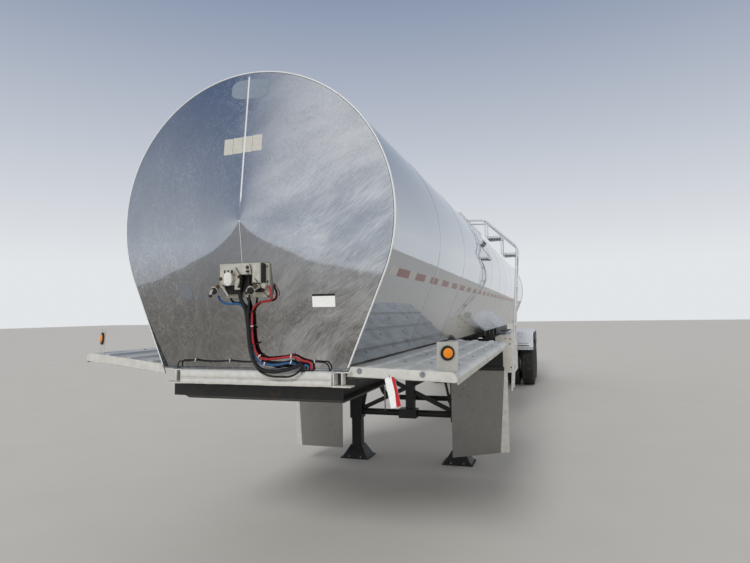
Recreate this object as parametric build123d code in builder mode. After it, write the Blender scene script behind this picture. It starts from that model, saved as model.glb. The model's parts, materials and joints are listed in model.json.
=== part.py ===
from build123d import *
from math import acos, atan2, cos, hypot, radians, sin, tan
import os

os.makedirs("parts", exist_ok=True)

# An insulated tank semi-trailer, parked on its landing gear.
# Sizes are millimetres. X runs across, Y runs to the rear and Z runs up from the ground.

# Overall sizes
overall_length = 13290
overall_width = 2438

# Jacket: a round barrel whose flanks run straight down to a flat sole
barrel_radius = 895
barrel_z = 2280
rear_overhang = 386
sole_half_width = 604
sole_z = 1405
sheet_length = 1220
first_seam = 1270
band_width = 45
band_thickness = 3
band_foot = 40

# Heads: a rolled rim with a shallow round cone inside it
rim_width = 22
rim_overhang = 5
rim_roll = 7
nose_depth = 140
nose_drop = 20
tail_depth = 120

# Front bolster under the edge of the head
bolster_half_width = 590
bolster_reach = 75
bolster_tail = 90
bolster_height = 86
bolster_sheet = 8
lug_thickness = 14
lug_height = 112

# Upper coupler and kingpin
coupler_start = 130
coupler_end = 1750
coupler_plate_z = 1200
coupler_plate_thickness = 10
coupler_half_width = 525
coupler_web = 10
coupler_cross_count = 4
coupler_lip_rise = 70
kingpin_station = 914
kingpin_shank_radius = 36.5
kingpin_neck_radius = 25.4
kingpin_head_radius = 35.7
kingpin_shank_length = 31.5
kingpin_neck_length = 35
kingpin_head_length = 17.5

# Front frame rails under the sole
frame_half_width = 440
rail_flange = 60
rail_height = 150
rail_sheet = 8
front_frame_end = 4150
cross_member_depth = 80
cross_member_height = 110

# Side decks, one each side; the left one is bent up and the right one sags
deck_gap = 20
deck_z = 1398
deck_length = 3100
deck_plank = 22
deck_rib_height = 11
deck_rib_width = 62
deck_rib_slope = 38
deck_rib_pitch = 168
deck_rib_inset = 156
deck_lip_drop = 30
deck_lip_sheet = 6
deck_lip_slant = 28
deck_nose_radius = 36
deck_nose_drop = 40
deck_tilt_left = 6.5
deck_tilt_right = -2.0
outrigger_width = 60
outrigger_root = 95
outrigger_tip = 30
outrigger_end_gap = 70
outrigger_stations = (420, 1690, 2960)

# Mud panels that hang from the decks' rear ends
panel_station = 3080
panel_sheet = 4
panel_inner_x = 624
panel_inset = 29
panel_flange = 42
panel_flange_angle = 50
panel_foot_left = (208, 208)
panel_foot_right = (173, 262)

# Marker lamps on plates at the decks' front corners
lamp_plate_width = 125
lamp_plate_height = 158
lamp_plate_sheet = 3
lamp_plate_turn = 35
lamp_plate_inset = 71
lamp_plate_setback = 48
lamp_height = 98
grommet_radius = 40.5
grommet_depth = 8
lens_radius = 31
lens_depth = 9
lens_edge = 5

# Connector box: a back plate, the housing with two covers on it, and the socket under its lid
box_x = 43
box_top_z = 2012
box_width = 322
box_height = 130
box_front = 160
box_corner = 12
plate_height = 180
plate_setback = 44
box_cover_sheet = 7
cover_split_x = 77
cover_split_width = 5
recess_x = 39
recess_width = 66
recess_height = 52
recess_depth = 46
slot_x = 162
slot_wall = 13
box_slot_width = 32
box_slot_height = 96
box_slot_depth = 26
socket_x = -64
socket_z = 1925
socket_radius = 27
socket_length = 34
socket_lid_width = 52
socket_lid_height = 74
socket_cap_depth = 10

# Air couplings: cast heads turned outwards, on necks out of the back plate
coupling_radius = 30
coupling_depth = 26
coupling_neck_radius = 12
coupling_neck_length = 52
coupling_ear_width = 22
coupling_ear_reach = 48
coupling_ear_sheet = 9
coupling_setback = 150

# Air lines and the wiring loom, from the couplings and the box to the bolster's top
air_line_radius = 6.5
loom_radius = 11
cable_radius = 6
line_foot_setback = 38
loom_foot_setback = 62
red_foot_x = 398
blue_foot_x = 379
loom_foot_x = 355
arc_share = 0.45

# Landing gear
leg_x = 612
leg_station = 3560
leg_size = 150
leg_sheet = 10
leg_top_z = 1398
leg_foot_z = 465
inner_leg_size = 118
shoe_top_z = 150
pad_thickness = 14
pad_width = 350
pad_length = 300
cross_tube_z = 540
cross_tube_radius = 38
brace_width = 50
brace_thickness = 12
brace_low_z = 580
brace_high_z = 1085
post_width = 105
post_depth = 70
hub_block_width = 210
hub_block_height = 104
side_stay_top_x = 400
side_stay_low_z = 600
side_stay_width = 26
shaft_z = 1165
shaft_radius = 15
gear_case_depth = 62
gear_case_width = 128
gear_case_height = 190
gear_case_corner = 16
crank_radius = 11
crank_reach = 62
crank_drop = 300
crank_grip = 105

# Drain pipe that crosses behind the landing gear
drain_radius = 30
drain_station_gap = 135
drain_z = 700
drain_top_x = -345
drain_bend = 150
drain_end_x = 480
drain_valve_radius = 52
drain_valve_length = 90

# Ladder on the right side, with two steps over the shoulder of the barrel
ladder_station = 6100
ladder_half_width = 200
rail_radius = 19
ladder_foot_inset = 174
ladder_foot_z = 505
ladder_knee_inset = 41
ladder_knee_z = 2713
ladder_shoulder_x = 672
ladder_shoulder_rise = 31
ladder_top_x = 372
ladder_top_rise = 51
rail_bend = 55
rung_radius = 14
rung_first_z = 610
rung_pitch = 300
rung_count = 7
step_depth = 214
step_sheet = 50
step_centres = ((1050, 2730), (775, 3010))
step_post_radius = 9
standoff_heights = (1640, 2280)
standoff_radius = 16

# Walkway on the crown, with the manhole through it
walkway_start = 5200
walkway_length = 2400
walkway_half_width = 392
walkway_rise = 12
walkway_sheet = 9
walkway_skirt = 8
slot_length = 150
slot_width = 22
slot_pitch = 62
manhole_station = 6720
neck_radius = 254
neck_wall = 12
neck_rise = 105
neck_flange = 26
neck_flange_height = 16
walkway_hole_gap = 30
lid_gap = 0.3
lid_radius = 272
lid_thickness = 14
lid_dome = 38
lid_flat_radius = 120
hinge_reach = 330
hinge_pin_radius = 8
hinge_fit = 0.5
knuckle_radius = 15
knuckle_half_length = 54
hinge_ear_gap = 6
hinge_ear_sheet = 10
hinge_rise = 14
vent_station = 5620
vent_radius = 52
vent_height = 90
vent_cap_radius = 70
vent_cap_taper = 20
vent_spacing = 300

# Cabinet under the right flank, behind the ladder
cabinet_start = 6380
cabinet_length = 780
cabinet_inner_x = 560
cabinet_outer_x = 1062
cabinet_foot_z = 735
cabinet_wall = 5
door_sheet = 5
door_gap = 1
door_margin = 22
door_hinge_radius = 8
door_hinge_pin_radius = 4
door_hinge_reach = 14
door_knuckle_length = 90
door_hinge_inset = 134

# Rear frame and tandem suspension
rear_frame_length = 3010
rear_frame_height = 300
rear_frame_reach = 260
axle_setback = 1800
axle_spread = 1245
axle_radius = 63.5
axle_end_gap = 24.5
spindle_radius = 40
spindle_end_gap = 19.5
arm_x = 425
arm_width = 80
hanger_lead = 600
hanger_width = 90
hanger_length = 150
hanger_foot_z = 770
arm_pivot_z = 830
arm_tail = 360
arm_tail_z = 600
arm_depth = 60
air_spring_setback = 250
piston_radius = 95
piston_height = 130
bellows_radius = 135
bellows_waist_radius = 116
bellows_land = 16
bellows_plate = 12
chamber_x = 290
chamber_radius = 84
chamber_length = 150
chamber_setback = 210
chamber_z_rise = 90
shield_radius = 188
shield_sheet = 5

# Air tank across the trailer, hung under the sole ahead of the rear frame
tank_setback = 190
tank_radius = 118
tank_half_length = 400
tank_end = 34
tank_drop = 24
tank_strap_x = 260
tank_strap_width = 50
tank_strap_sheet = 5

# Wheels: twin tyres on one hub
tyre_radius = 512
tyre_width = 279
dual_spacing = 330
rim_seat_radius = 272
rim_barrel_sheet = 10
rim_half_width = 115
flange_radius = 297
flange_sheet = 8
tyre_fit = 0.4
tread_half_width = 115
shoulder_drop = 20
bulge_radius = 401
bulge_land = 32
disc_sheet = 12
disc_inner_radius = 82
disc_bend_radius = 162
disc_offset = 50
hand_hole_radius = 24
hand_hole_circle = 208
hand_hole_count = 5
hub_radius = 84
hub_inboard = 200
hub_outboard = 140
hub_cap_radius = 68
hub_cap_length = 42
hub_fit = 0.5
drum_radius = 210
drum_wall = 14
drum_inboard = 240
drum_face = 24

# Fenders, flaps, bumper and lamps at the rear
fender_half_length = 1222.5
fender_sheet = 4
fender_top_z = 1249
fender_foot_z = 843
fender_slope = 90
fender_hem = 60
fender_inner_x = 612
fender_skirt = 34
fender_bar_radius = 18
fender_bar_drop = 20
flap_thickness = 10
flap_foot_z = 260
flap_margin = 40
bumper_size = 100
bumper_inset = 99
bumper_z = 520
bumper_post_width = 90
lamp_board_height = 150
lamp_board_sheet = 6
lamp_board_z = 900
rear_lamp_radius = 51
rear_lamp_depth = 22
rear_lamp_insets = (239, 379, 519)

# Rear outlet
outlet_z = 1530
outlet_radius = 44.5
outlet_bore = 38.1
outlet_reach = 290
valve_radius = 82
valve_length = 90
outlet_collar_radius = 58
outlet_collar_length = 22
bore_depth = 90

# Place of the front rim plane, from which every station is counted
front_reach = box_front + socket_length + socket_cap_depth
front_y = front_reach - overall_length / 2

# Stations that are counted from the rear
barrel_length = overall_length - front_reach - rear_overhang
rear_frame_end = barrel_length + rear_frame_reach
rear_frame_start = rear_frame_end - rear_frame_length
axle_station = barrel_length - axle_setback
tandem_middle = axle_station + axle_spread / 2
fender_start = tandem_middle - fender_half_length
fender_end = tandem_middle + fender_half_length

# Heights that are counted from the crown of the barrel
crown_z = barrel_z + barrel_radius
walkway_top = crown_z + walkway_rise
ladder_shoulder = (ladder_shoulder_x, crown_z + ladder_shoulder_rise)
ladder_top = (ladder_top_x, crown_z + ladder_top_rise)


def station(distance):
    """The Y of a place so far behind the front rim plane."""
    return front_y + distance


def across(distance):
    """A plane square to the trailer's length, X to the right and Z up, facing forwards."""
    return Plane(origin=(0, station(distance), 0), x_dir=(1, 0, 0), z_dir=(0, -1, 0))


def lengthwise(x):
    """A plane along the trailer at x, Y to the right and Z up, facing +X."""
    return Plane(origin=(x, 0, 0), x_dir=(0, 1, 0), z_dir=(1, 0, 0))


def flank_lean(radius, half, drop):
    """The turn, below the horizontal, at which a straight flank leaves the round top."""
    return acos(radius / hypot(half, drop)) - atan2(drop, half)


def keyhole(grow=0.0):
    """The jacket's outline: a round top and straight flanks down to the flat sole."""
    radius = barrel_radius + grow
    half = sole_half_width + grow
    low = sole_z - grow
    lean = flank_lean(radius, half, barrel_z - low)
    hip = (radius * cos(lean), barrel_z + radius * sin(lean))
    ThreePointArc(hip, (0, barrel_z + radius), (-hip[0], hip[1]))
    Polyline((-hip[0], hip[1]), (-half, low), (half, low), hip)


def barrel_x(z):
    """How far out the barrel or its flank stands at height z."""
    rise = z - barrel_z
    lean = flank_lean(barrel_radius, sole_half_width, barrel_z - sole_z)
    if rise > barrel_radius * sin(lean):
        return (barrel_radius**2 - rise**2) ** 0.5
    return (barrel_radius - rise * sin(lean)) / cos(lean)


def save(piece, name):
    """Labels a finished piece and writes it to its own file."""
    piece.part.label = name
    export_step(piece.part, f"parts/{name}.step")


# Barrel jacket
with BuildPart() as tank_barrel:
    with BuildSketch(across(0)):
        with BuildLine():
            keyhole()
        make_face()
    extrude(amount=-barrel_length)
save(tank_barrel, "tank_barrel")

# Bands over the jacket's sheet seams
band_count = int((barrel_length - first_seam) // sheet_length) + 1
with BuildPart() as jacket_bands:
    for index in range(band_count):
        with BuildSketch(across(first_seam + index * sheet_length - band_width / 2)):
            with BuildLine():
                keyhole(band_thickness)
            make_face()
            with BuildLine():
                keyhole()
            make_face(mode=Mode.SUBTRACT)
            with Locations((0, sole_z)):
                Rectangle(overall_width, 2 * band_foot, mode=Mode.SUBTRACT)
        extrude(amount=-band_width)
save(jacket_bands, "jacket_bands")



def build_head(base, outward, depth, point_z):
    """A rolled rim on the jacket's outline, and inside it a round cone drawn out to a point."""
    slope = (depth - rim_width) / (barrel_radius - rim_roll)
    with BuildPart() as rim:
        with BuildSketch(across(base)):
            with BuildLine():
                keyhole(rim_overhang)
            make_face()
            with BuildLine():
                keyhole(-rim_roll)
            make_face(mode=Mode.SUBTRACT)
        extrude(amount=-outward * rim_width)
        rim_face = rim.faces().sort_by(Axis.Y)[-1 if outward > 0 else 0]
        chamfer(rim_face.outer_wire().edges(), length=rim_roll)
    with BuildPart() as head:
        with BuildSketch(across(base)):
            with BuildLine():
                keyhole(-rim_roll)
            make_face()
        extrude(amount=-outward * depth)
        with BuildSketch(lengthwise(0)):
            with BuildLine():
                Polyline(
                    (station(base), point_z),
                    (station(base) + outward * depth, point_z),
                    (station(base), point_z + depth / slope),
                    close=True,
                )
            make_face()
        revolve(axis=Axis((0, 0, point_z), (0, 1, 0)), mode=Mode.INTERSECT)
        add(rim.part)
    return head


# Heads
front_head = build_head(0, -1, nose_depth, barrel_z - nose_drop)
save(front_head, "front_head")
rear_head = build_head(barrel_length, 1, tail_depth, barrel_z)
save(rear_head, "rear_head")

# Front bolster: a channel that opens downwards, with a lug at each end
bolster_top = sole_z - rim_overhang
with BuildPart() as front_bolster:
    with BuildSketch(lengthwise(0)):
        with BuildLine():
            Polyline(
                (station(-bolster_reach), bolster_top),
                (station(bolster_tail), bolster_top),
                (station(bolster_tail), bolster_top - bolster_height),
                (station(-bolster_reach), bolster_top - bolster_height),
                close=True,
            )
        make_face()
        with BuildLine():
            Polyline(
                (station(-bolster_reach) + bolster_sheet, bolster_top - bolster_sheet),
                (station(bolster_tail) - bolster_sheet, bolster_top - bolster_sheet),
                (station(bolster_tail) - bolster_sheet, bolster_top - bolster_height),
                (station(-bolster_reach) + bolster_sheet, bolster_top - bolster_height),
                close=True,
            )
        make_face(mode=Mode.SUBTRACT)
    extrude(amount=bolster_half_width - lug_thickness, both=True)
    for side in (-1, 1):
        with BuildSketch(lengthwise(side * (bolster_half_width - lug_thickness / 2))):
            with Locations((station((bolster_tail - bolster_reach) / 2), bolster_top - lug_height / 2)):
                RectangleRounded(bolster_reach + bolster_tail, lug_height, bolster_sheet)
        extrude(amount=lug_thickness / 2, both=True)
save(front_bolster, "front_bolster")

# Upper coupler: the plate that rests on the tractor, its webs and the kingpin
coupler_length = coupler_end - coupler_start
coupler_middle = station((coupler_start + coupler_end) / 2)
web_top = sole_z
web_low = coupler_plate_z + coupler_plate_thickness
with BuildPart() as upper_coupler:
    with Locations((0, coupler_middle, coupler_plate_z + coupler_plate_thickness / 2)):
        Box(2 * coupler_half_width, coupler_length, coupler_plate_thickness)
    for x in (-frame_half_width, -frame_half_width / 3, frame_half_width / 3, frame_half_width):
        inward = -coupler_web / 2 if x > 0 else coupler_web / 2
        with Locations((x + inward, coupler_middle, (web_top + web_low) / 2)):
            Box(coupler_web, coupler_length, web_top - web_low)
    for index in range(coupler_cross_count):
        y = station(coupler_start) + coupler_web / 2
        y += index * (coupler_length - coupler_web) / (coupler_cross_count - 1)
        with Locations((0, y, (web_top + web_low) / 2)):
            Box(2 * frame_half_width, coupler_web, web_top - web_low)
    with BuildSketch(lengthwise(0)):
        with BuildLine():
            Polyline(
                (station(coupler_start), coupler_plate_z),
                (station(coupler_start), web_low),
                (station(coupler_start) - coupler_lip_rise, web_low + coupler_lip_rise / 2),
                (station(coupler_start) - coupler_lip_rise, coupler_plate_z + coupler_lip_rise / 2),
                close=True,
            )
        make_face()
    extrude(amount=coupler_half_width, both=True)
    with BuildSketch(across(kingpin_station)):
        with BuildLine():
            neck_top = coupler_plate_z - kingpin_shank_length
            neck_low = neck_top - kingpin_neck_length
            Polyline(
                (0, coupler_plate_z),
                (kingpin_shank_radius, coupler_plate_z),
                (kingpin_shank_radius, neck_top),
                (kingpin_neck_radius, neck_top),
                (kingpin_neck_radius, neck_low),
                (kingpin_head_radius, neck_low),
                (kingpin_head_radius, neck_low - kingpin_head_length),
                (0, neck_low - kingpin_head_length),
                close=True,
            )
        make_face()
    revolve(axis=Axis((0, station(kingpin_station), 0), (0, 0, 1)))
save(upper_coupler, "upper_coupler")


def rail_section(side, start, height):
    """The C-shaped section of one rail under the sole, its back outwards."""
    with BuildSketch(across(start)) as section:
        with Locations((side * (frame_half_width - rail_flange / 2), sole_z - height / 2)):
            Rectangle(rail_flange, height)
        hollow_x = frame_half_width - rail_flange / 2 - rail_sheet
        with Locations((side * hollow_x, sole_z - height / 2)):
            Rectangle(rail_flange, height - 2 * rail_sheet, mode=Mode.SUBTRACT)
    return section.sketch


def cross_members(distances, height):
    """Box members between the rails' backs, set below their top flanges."""
    for distance in distances:
        with Locations((0, station(distance), sole_z - height / 2)):
            Box(2 * (frame_half_width - rail_sheet), cross_member_depth, cross_member_height)


# Front frame: rails, cross members and the two ears that carry the landing legs
with BuildPart() as front_frame:
    for side in (-1, 1):
        extrude(rail_section(side, coupler_end, rail_height), amount=coupler_end - front_frame_end)
    middle = (coupler_end + leg_station) / 2
    last = front_frame_end - cross_member_depth / 2
    cross_members((middle, leg_station, last), rail_height)
    ear_end = leg_x - leg_size / 2
    for side in (-1, 1):
        ear_x = side * (frame_half_width + ear_end) / 2
        with Locations((ear_x, station(leg_station), sole_z - rail_height / 2)):
            Box(ear_end - frame_half_width, leg_size, rail_height)
save(front_frame, "front_frame")

# Side decks: ribbed planks with a rounded outer nose, on tapered outriggers
deck_inner_x = sole_half_width + deck_gap
deck_width = overall_width / 2 - deck_inner_x


def deck_axes(side, tilt):
    """The outward and upward directions of a deck that is turned about its inner edge."""
    outward = Vector(side * cos(radians(tilt)), 0, sin(radians(tilt)))
    upward = Vector(-side * sin(radians(tilt)), 0, cos(radians(tilt)))
    return outward, upward


def deck_under_z(x, tilt):
    """Height of the deck's underside at a distance x from the centreline."""
    return deck_z + (x - deck_inner_x) * tan(radians(tilt))


def build_deck(side, tilt):
    """One deck with its outriggers, drawn from the front and pushed to the rear."""
    outward, upward = deck_axes(side, tilt)
    reach = (deck_width - deck_nose_drop * sin(abs(radians(tilt)))) / cos(radians(tilt))
    nose_x = reach - deck_nose_radius
    nose_z = deck_plank - deck_nose_radius
    face = Plane(
        origin=(side * deck_inner_x, station(0), deck_z), x_dir=outward, z_dir=(0, -side, 0)
    )
    rib_run = reach - deck_rib_inset - deck_rib_width / 2
    rib_count = int(rib_run // deck_rib_pitch) + 1
    rib_places = [
        (reach - deck_rib_inset - index * deck_rib_pitch, deck_plank) for index in range(rib_count)
    ]
    with BuildPart() as deck:
        with BuildSketch(face):
            with BuildLine():
                Polyline(
                    (nose_x, deck_plank),
                    (0, deck_plank),
                    (0, 0),
                    (reach - 2 * deck_lip_sheet, 0),
                    (reach - deck_lip_sheet, nose_z),
                    (reach - deck_lip_sheet, -deck_nose_drop),
                    (reach, -deck_nose_drop),
                    (reach, nose_z),
                )
                RadiusArc((reach, nose_z), (nose_x, deck_plank), -deck_nose_radius)
            make_face()
            with Locations(*rib_places):
                Trapezoid(
                    deck_rib_width, deck_rib_height, deck_rib_slope, align=(Align.CENTER, Align.MIN)
                )
        extrude(amount=-side * deck_length)
        with BuildSketch(face):
            with BuildLine():
                Polyline(
                    (nose_x, deck_plank),
                    (0, deck_plank),
                    (-deck_lip_slant, -deck_lip_drop),
                    (reach - deck_lip_sheet / 2, -deck_lip_drop),
                    (reach - deck_lip_sheet / 2, nose_z),
                    (nose_x, deck_plank),
                    close=True,
                )
            make_face()
        extrude(amount=side * deck_lip_sheet)
        tip_x = deck_inner_x + reach - outrigger_end_gap
        tip_z = deck_under_z(tip_x, tilt)
        for distance in outrigger_stations:
            with BuildSketch(across(distance)):
                with BuildLine():
                    Polyline(
                        (side * frame_half_width, deck_z),
                        (side * deck_inner_x, deck_z),
                        (side * tip_x, tip_z),
                        (side * tip_x, tip_z - outrigger_tip),
                        (side * frame_half_width, deck_z - outrigger_root),
                        close=True,
                    )
                make_face()
            extrude(amount=-outrigger_width)
    return deck


deck_left = build_deck(-1, deck_tilt_left)
save(deck_left, "deck_left")
deck_right = build_deck(1, deck_tilt_right)
save(deck_right, "deck_right")

# Mud panels: sheets under the decks' rear ends, with a bent outer flange
panel_outer_x = overall_width / 2 - panel_inset
panel_sides = (
    # side, deck tilt, heights of the foot at the inner and the outer edge
    (-1, deck_tilt_left, panel_foot_left),
    (1, deck_tilt_right, panel_foot_right),
)
with BuildPart() as mud_panels:
    for side, tilt, foot in panel_sides:
        with BuildSketch(across(panel_station)):
            with BuildLine():
                Polyline(
                    (side * panel_inner_x, foot[0]),
                    (side * panel_outer_x, foot[1]),
                    (side * panel_outer_x, deck_under_z(panel_outer_x, tilt)),
                    (side * panel_inner_x, deck_under_z(panel_inner_x, tilt)),
                    close=True,
                )
            make_face()
        extrude(amount=-panel_sheet)
        with BuildSketch(Plane.XY.offset(foot[1])):
            with BuildLine():
                turn = radians(panel_flange_angle)
                root_y = station(panel_station)
                lip_x = panel_flange * cos(turn)
                lip_y = panel_flange * sin(turn)
                Polyline(
                    (side * panel_outer_x, root_y),
                    (side * (panel_outer_x + lip_x), root_y - lip_y),
                    (side * (panel_outer_x + lip_x), root_y - lip_y + panel_sheet),
                    (side * panel_outer_x, root_y + panel_sheet),
                    close=True,
                )
            make_face()
        extrude(amount=deck_under_z(overall_width / 2, min(tilt, 0)) - deck_nose_drop - foot[1])
save(mud_panels, "mud_panels")

# Marker lamps on their plates
deck_sides = ((-1, deck_tilt_left), (1, deck_tilt_right))
lamp_plate_x = overall_width / 2 - lamp_plate_inset


def lamp_plate_frame(side, tilt):
    """Middle of the plate's foot on the deck, and its directions along, up and out."""
    outward, upward = deck_axes(side, tilt)
    turn = radians(lamp_plate_turn)
    reach = (lamp_plate_x - deck_inner_x) / cos(radians(tilt))
    foot = Vector(side * deck_inner_x, station(lamp_plate_setback), deck_z)
    foot = foot + outward * reach + upward * deck_plank
    along = outward * cos(turn) + Vector(0, sin(turn), 0)
    facing = outward * sin(turn) - Vector(0, cos(turn), 0)
    return foot, along, upward, facing


with BuildPart() as lamp_plates:
    for side, tilt in deck_sides:
        foot, along, upward, facing = lamp_plate_frame(side, tilt)
        centre = foot + upward * (lamp_plate_height / 2)
        with BuildSketch(Plane(origin=centre, x_dir=along, z_dir=facing)):
            Rectangle(lamp_plate_width, lamp_plate_height)
        extrude(amount=lamp_plate_sheet)
save(lamp_plates, "lamp_plates")

with BuildPart() as marker_lamps:
    for side, tilt in deck_sides:
        foot, along, upward, facing = lamp_plate_frame(side, tilt)
        seat = foot + upward * lamp_height + facing * lamp_plate_sheet
        with BuildSketch(Plane(origin=seat, x_dir=along, z_dir=facing)):
            Circle(grommet_radius)
        extrude(amount=grommet_depth)
        front = seat + facing * grommet_depth
        with BuildSketch(Plane(origin=front, x_dir=along, z_dir=facing)):
            Circle(lens_radius)
        extrude(amount=lens_depth, taper=lens_edge)
save(marker_lamps, "marker_lamps")

# Connector box on the head: its recess, slot and covers, and the electric socket under an oval lid
box_z = box_top_z - box_height / 2
box_low = box_top_z - box_height
plate_low = box_top_z - plate_height
with BuildPart() as connector_box:
    with BuildSketch(across(-box_front + plate_setback)):
        with Locations((box_x, box_top_z - plate_height / 2)):
            RectangleRounded(box_width, plate_height, box_corner)
    extrude(amount=rim_width + plate_setback - box_front)
    with BuildSketch(across(-box_front)):
        with Locations((box_x, box_z)):
            RectangleRounded(box_width, box_height, box_corner)
    extrude(amount=-plate_setback)
    with BuildSketch(across(-box_front)):
        with Locations((recess_x, box_low + recess_height / 2)):
            Rectangle(recess_width, recess_height)
    extrude(amount=-recess_depth, mode=Mode.SUBTRACT)
    with BuildSketch(across(-box_front)):
        with Locations((slot_x, box_top_z - slot_wall - box_slot_height / 2)):
            Rectangle(box_slot_width, box_slot_height)
    extrude(amount=-box_slot_depth, mode=Mode.SUBTRACT)
    with BuildSketch(across(-box_front)):
        with Locations((cover_split_x, box_z)):
            Rectangle(cover_split_width, box_height)
    extrude(amount=-box_cover_sheet, mode=Mode.SUBTRACT)
    with BuildSketch(across(-box_front)):
        with Locations((socket_x, socket_z)):
            Circle(socket_radius)
    extrude(amount=socket_length)
    with BuildSketch(across(-box_front - socket_length)):
        with Locations((socket_x, socket_z)):
            SlotOverall(socket_lid_height, socket_lid_width, rotation=90)
    extrude(amount=socket_cap_depth)
    add(front_head.part, mode=Mode.SUBTRACT)
save(connector_box, "connector_box")

# Air couplings: a round head with an ear, on a neck that slopes down out of the back plate
coupling_y = station(-coupling_setback)
coupling_places = (
    # x and height of the head's middle, turn of its face away from straight ahead
    (-128, 1858, -42),
    (86, 1845, 38),
)
with BuildPart() as air_couplings:
    for x, z, turn in coupling_places:
        centre = Vector(x, coupling_y, z)
        facing = Vector(sin(radians(turn)), -cos(radians(turn)), 0)
        sideways = Vector(cos(radians(turn)), sin(radians(turn)), 0)
        face = Plane(origin=centre, x_dir=sideways, z_dir=facing)
        with BuildSketch(face):
            Circle(coupling_radius)
        extrude(amount=coupling_depth / 2, both=True)
        with BuildSketch(face.offset(-coupling_depth / 2)):
            with Locations((0, coupling_ear_reach / 2)):
                RectangleRounded(coupling_ear_width, coupling_ear_reach, coupling_ear_sheet)
        extrude(amount=coupling_ear_sheet)
        with BuildSketch(face.offset(-coupling_depth / 2)):
            Circle(coupling_neck_radius)
        extrude(amount=-coupling_neck_length)
    add(front_head.part, mode=Mode.SUBTRACT)
    add(connector_box.part, mode=Mode.SUBTRACT)
save(air_couplings, "air_couplings")


def line_tube(points, radii, radius):
    """A round tube along straight runs that are joined by tangent arcs."""
    with BuildPart() as tube:
        with BuildLine() as path:
            FilletPolyline(*points, radius=radii)
        with BuildSketch(Plane(origin=path.line @ 0, z_dir=path.line % 0)):
            Circle(radius)
        sweep()
        add(air_couplings.part, mode=Mode.SUBTRACT)
        add(connector_box.part, mode=Mode.SUBTRACT)
    return tube


# Each route's columns are x, distance behind the rim plane and z
line_top = bolster_top
red_route = (
    (176, -118, box_low),
    (193, -116, 1832),
    (186, -100, 1796),
    (96, -92, 1790),
    (52, -86, 1752),
    (49, -84, 1690),
    (46, -72, 1580),
    (60, -62, 1500),
    (104, -60, 1462),
    (200, -58, 1468),
    (290, -56, 1484),
    (338, -46, 1458),
    (red_foot_x, -line_foot_setback, 1448),
    (red_foot_x, -line_foot_setback, line_top),
)
blue_route = (
    (-134, -144, 1846),
    (-134, -134, 1804),
    (-96, -108, 1782),
    (-20, -100, 1786),
    (14, -88, 1746),
    (26, -72, 1676),
    (28, -58, 1580),
    (40, -52, 1484),
    (92, -56, 1436),
    (190, -58, 1430),
    (280, -58, 1448),
    (330, -44, 1422),
    (blue_foot_x, -line_foot_setback, 1434),
    (blue_foot_x, -line_foot_setback, line_top),
)
loom_route = (
    (16, -134, box_low + recess_height),
    (-8, -130, 1830),
    (22, -106, 1756),
    (28, -92, 1660),
    (27, -80, 1580),
    (34, -76, 1510),
    (62, -84, 1446),
    (118, -100, 1406),
    (200, -104, 1396),
    (290, -94, 1412),
    (loom_foot_x, -loom_foot_setback, 1440),
    (loom_foot_x, -loom_foot_setback, line_top),
)
cable_route = (
    (58, -134, box_low + recess_height),
    (62, -132, 1830),
    (50, -122, 1772),
    (32, -100, 1700),
    (28, -92, 1660),
)
loop_route = (
    (62, -84, 1446),
    (104, -104, 1400),
    (180, -110, 1372),
    (300, -106, 1372),
    (350, -92, 1400),
    (loom_foot_x, -loom_foot_setback, 1430),
)


def route_points(route):
    """A route's points in the trailer's frame."""
    return [Vector(x, station(distance), z) for x, distance, z in route]


def arc_radii(points):
    """For each corner, the largest tangent arc that leaves its two runs a straight part."""
    radii = []
    for before, corner, after in zip(points, points[1:], points[2:]):
        run_in = corner - before
        run_out = after - corner
        turn = radians(run_in.get_angle(run_out))
        radii.append(arc_share * min(run_in.length, run_out.length) / tan(turn / 2))
    return radii


def build_lines(routes):
    """The tubes of one node, along their routes."""
    with BuildPart() as lines:
        for route, radius in routes:
            points = route_points(route)
            radii = arc_radii(points)
            print("arc radii", [round(value) for value in radii])
            tube = line_tube(points, radii, radius)
            add(tube.part)
    return lines


air_line_red = build_lines([(red_route, air_line_radius)])
save(air_line_red, "air_line_red")
air_line_blue = build_lines([(blue_route, air_line_radius)])
save(air_line_blue, "air_line_blue")
loom_routes = [(loom_route, loom_radius), (cable_route, cable_radius), (loop_route, cable_radius)]
wiring_loom = build_lines(loom_routes)
save(wiring_loom, "wiring_loom")

# Landing legs: square outer tubes, with the gear case and the crank on the left one
with BuildPart() as landing_legs:
    for side in (-1, 1):
        with BuildSketch(Plane.XY.offset(leg_foot_z)):
            with Locations((side * leg_x, station(leg_station))):
                RectangleRounded(leg_size, leg_size, leg_sheet)
        extrude(amount=leg_top_z - leg_foot_z)
    case_x = -leg_x - leg_size / 2
    shaft_start = case_x - gear_case_depth
    with BuildSketch(lengthwise(case_x)):
        with Locations((station(leg_station), shaft_z)):
            RectangleRounded(gear_case_width, gear_case_height, gear_case_corner)
    extrude(amount=-gear_case_depth)
    with BuildLine() as crank_path:
        FilletPolyline(
            (shaft_start, station(leg_station), shaft_z),
            (shaft_start - crank_reach, station(leg_station), shaft_z),
            (shaft_start - crank_reach, station(leg_station), shaft_z - crank_drop),
            (shaft_start - crank_reach - crank_grip, station(leg_station), shaft_z - crank_drop),
            radius=2 * crank_radius,
        )
    with BuildSketch(lengthwise(shaft_start)):
        with Locations((station(leg_station), shaft_z)):
            Circle(crank_radius)
    sweep()
save(landing_legs, "landing_legs")

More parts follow.
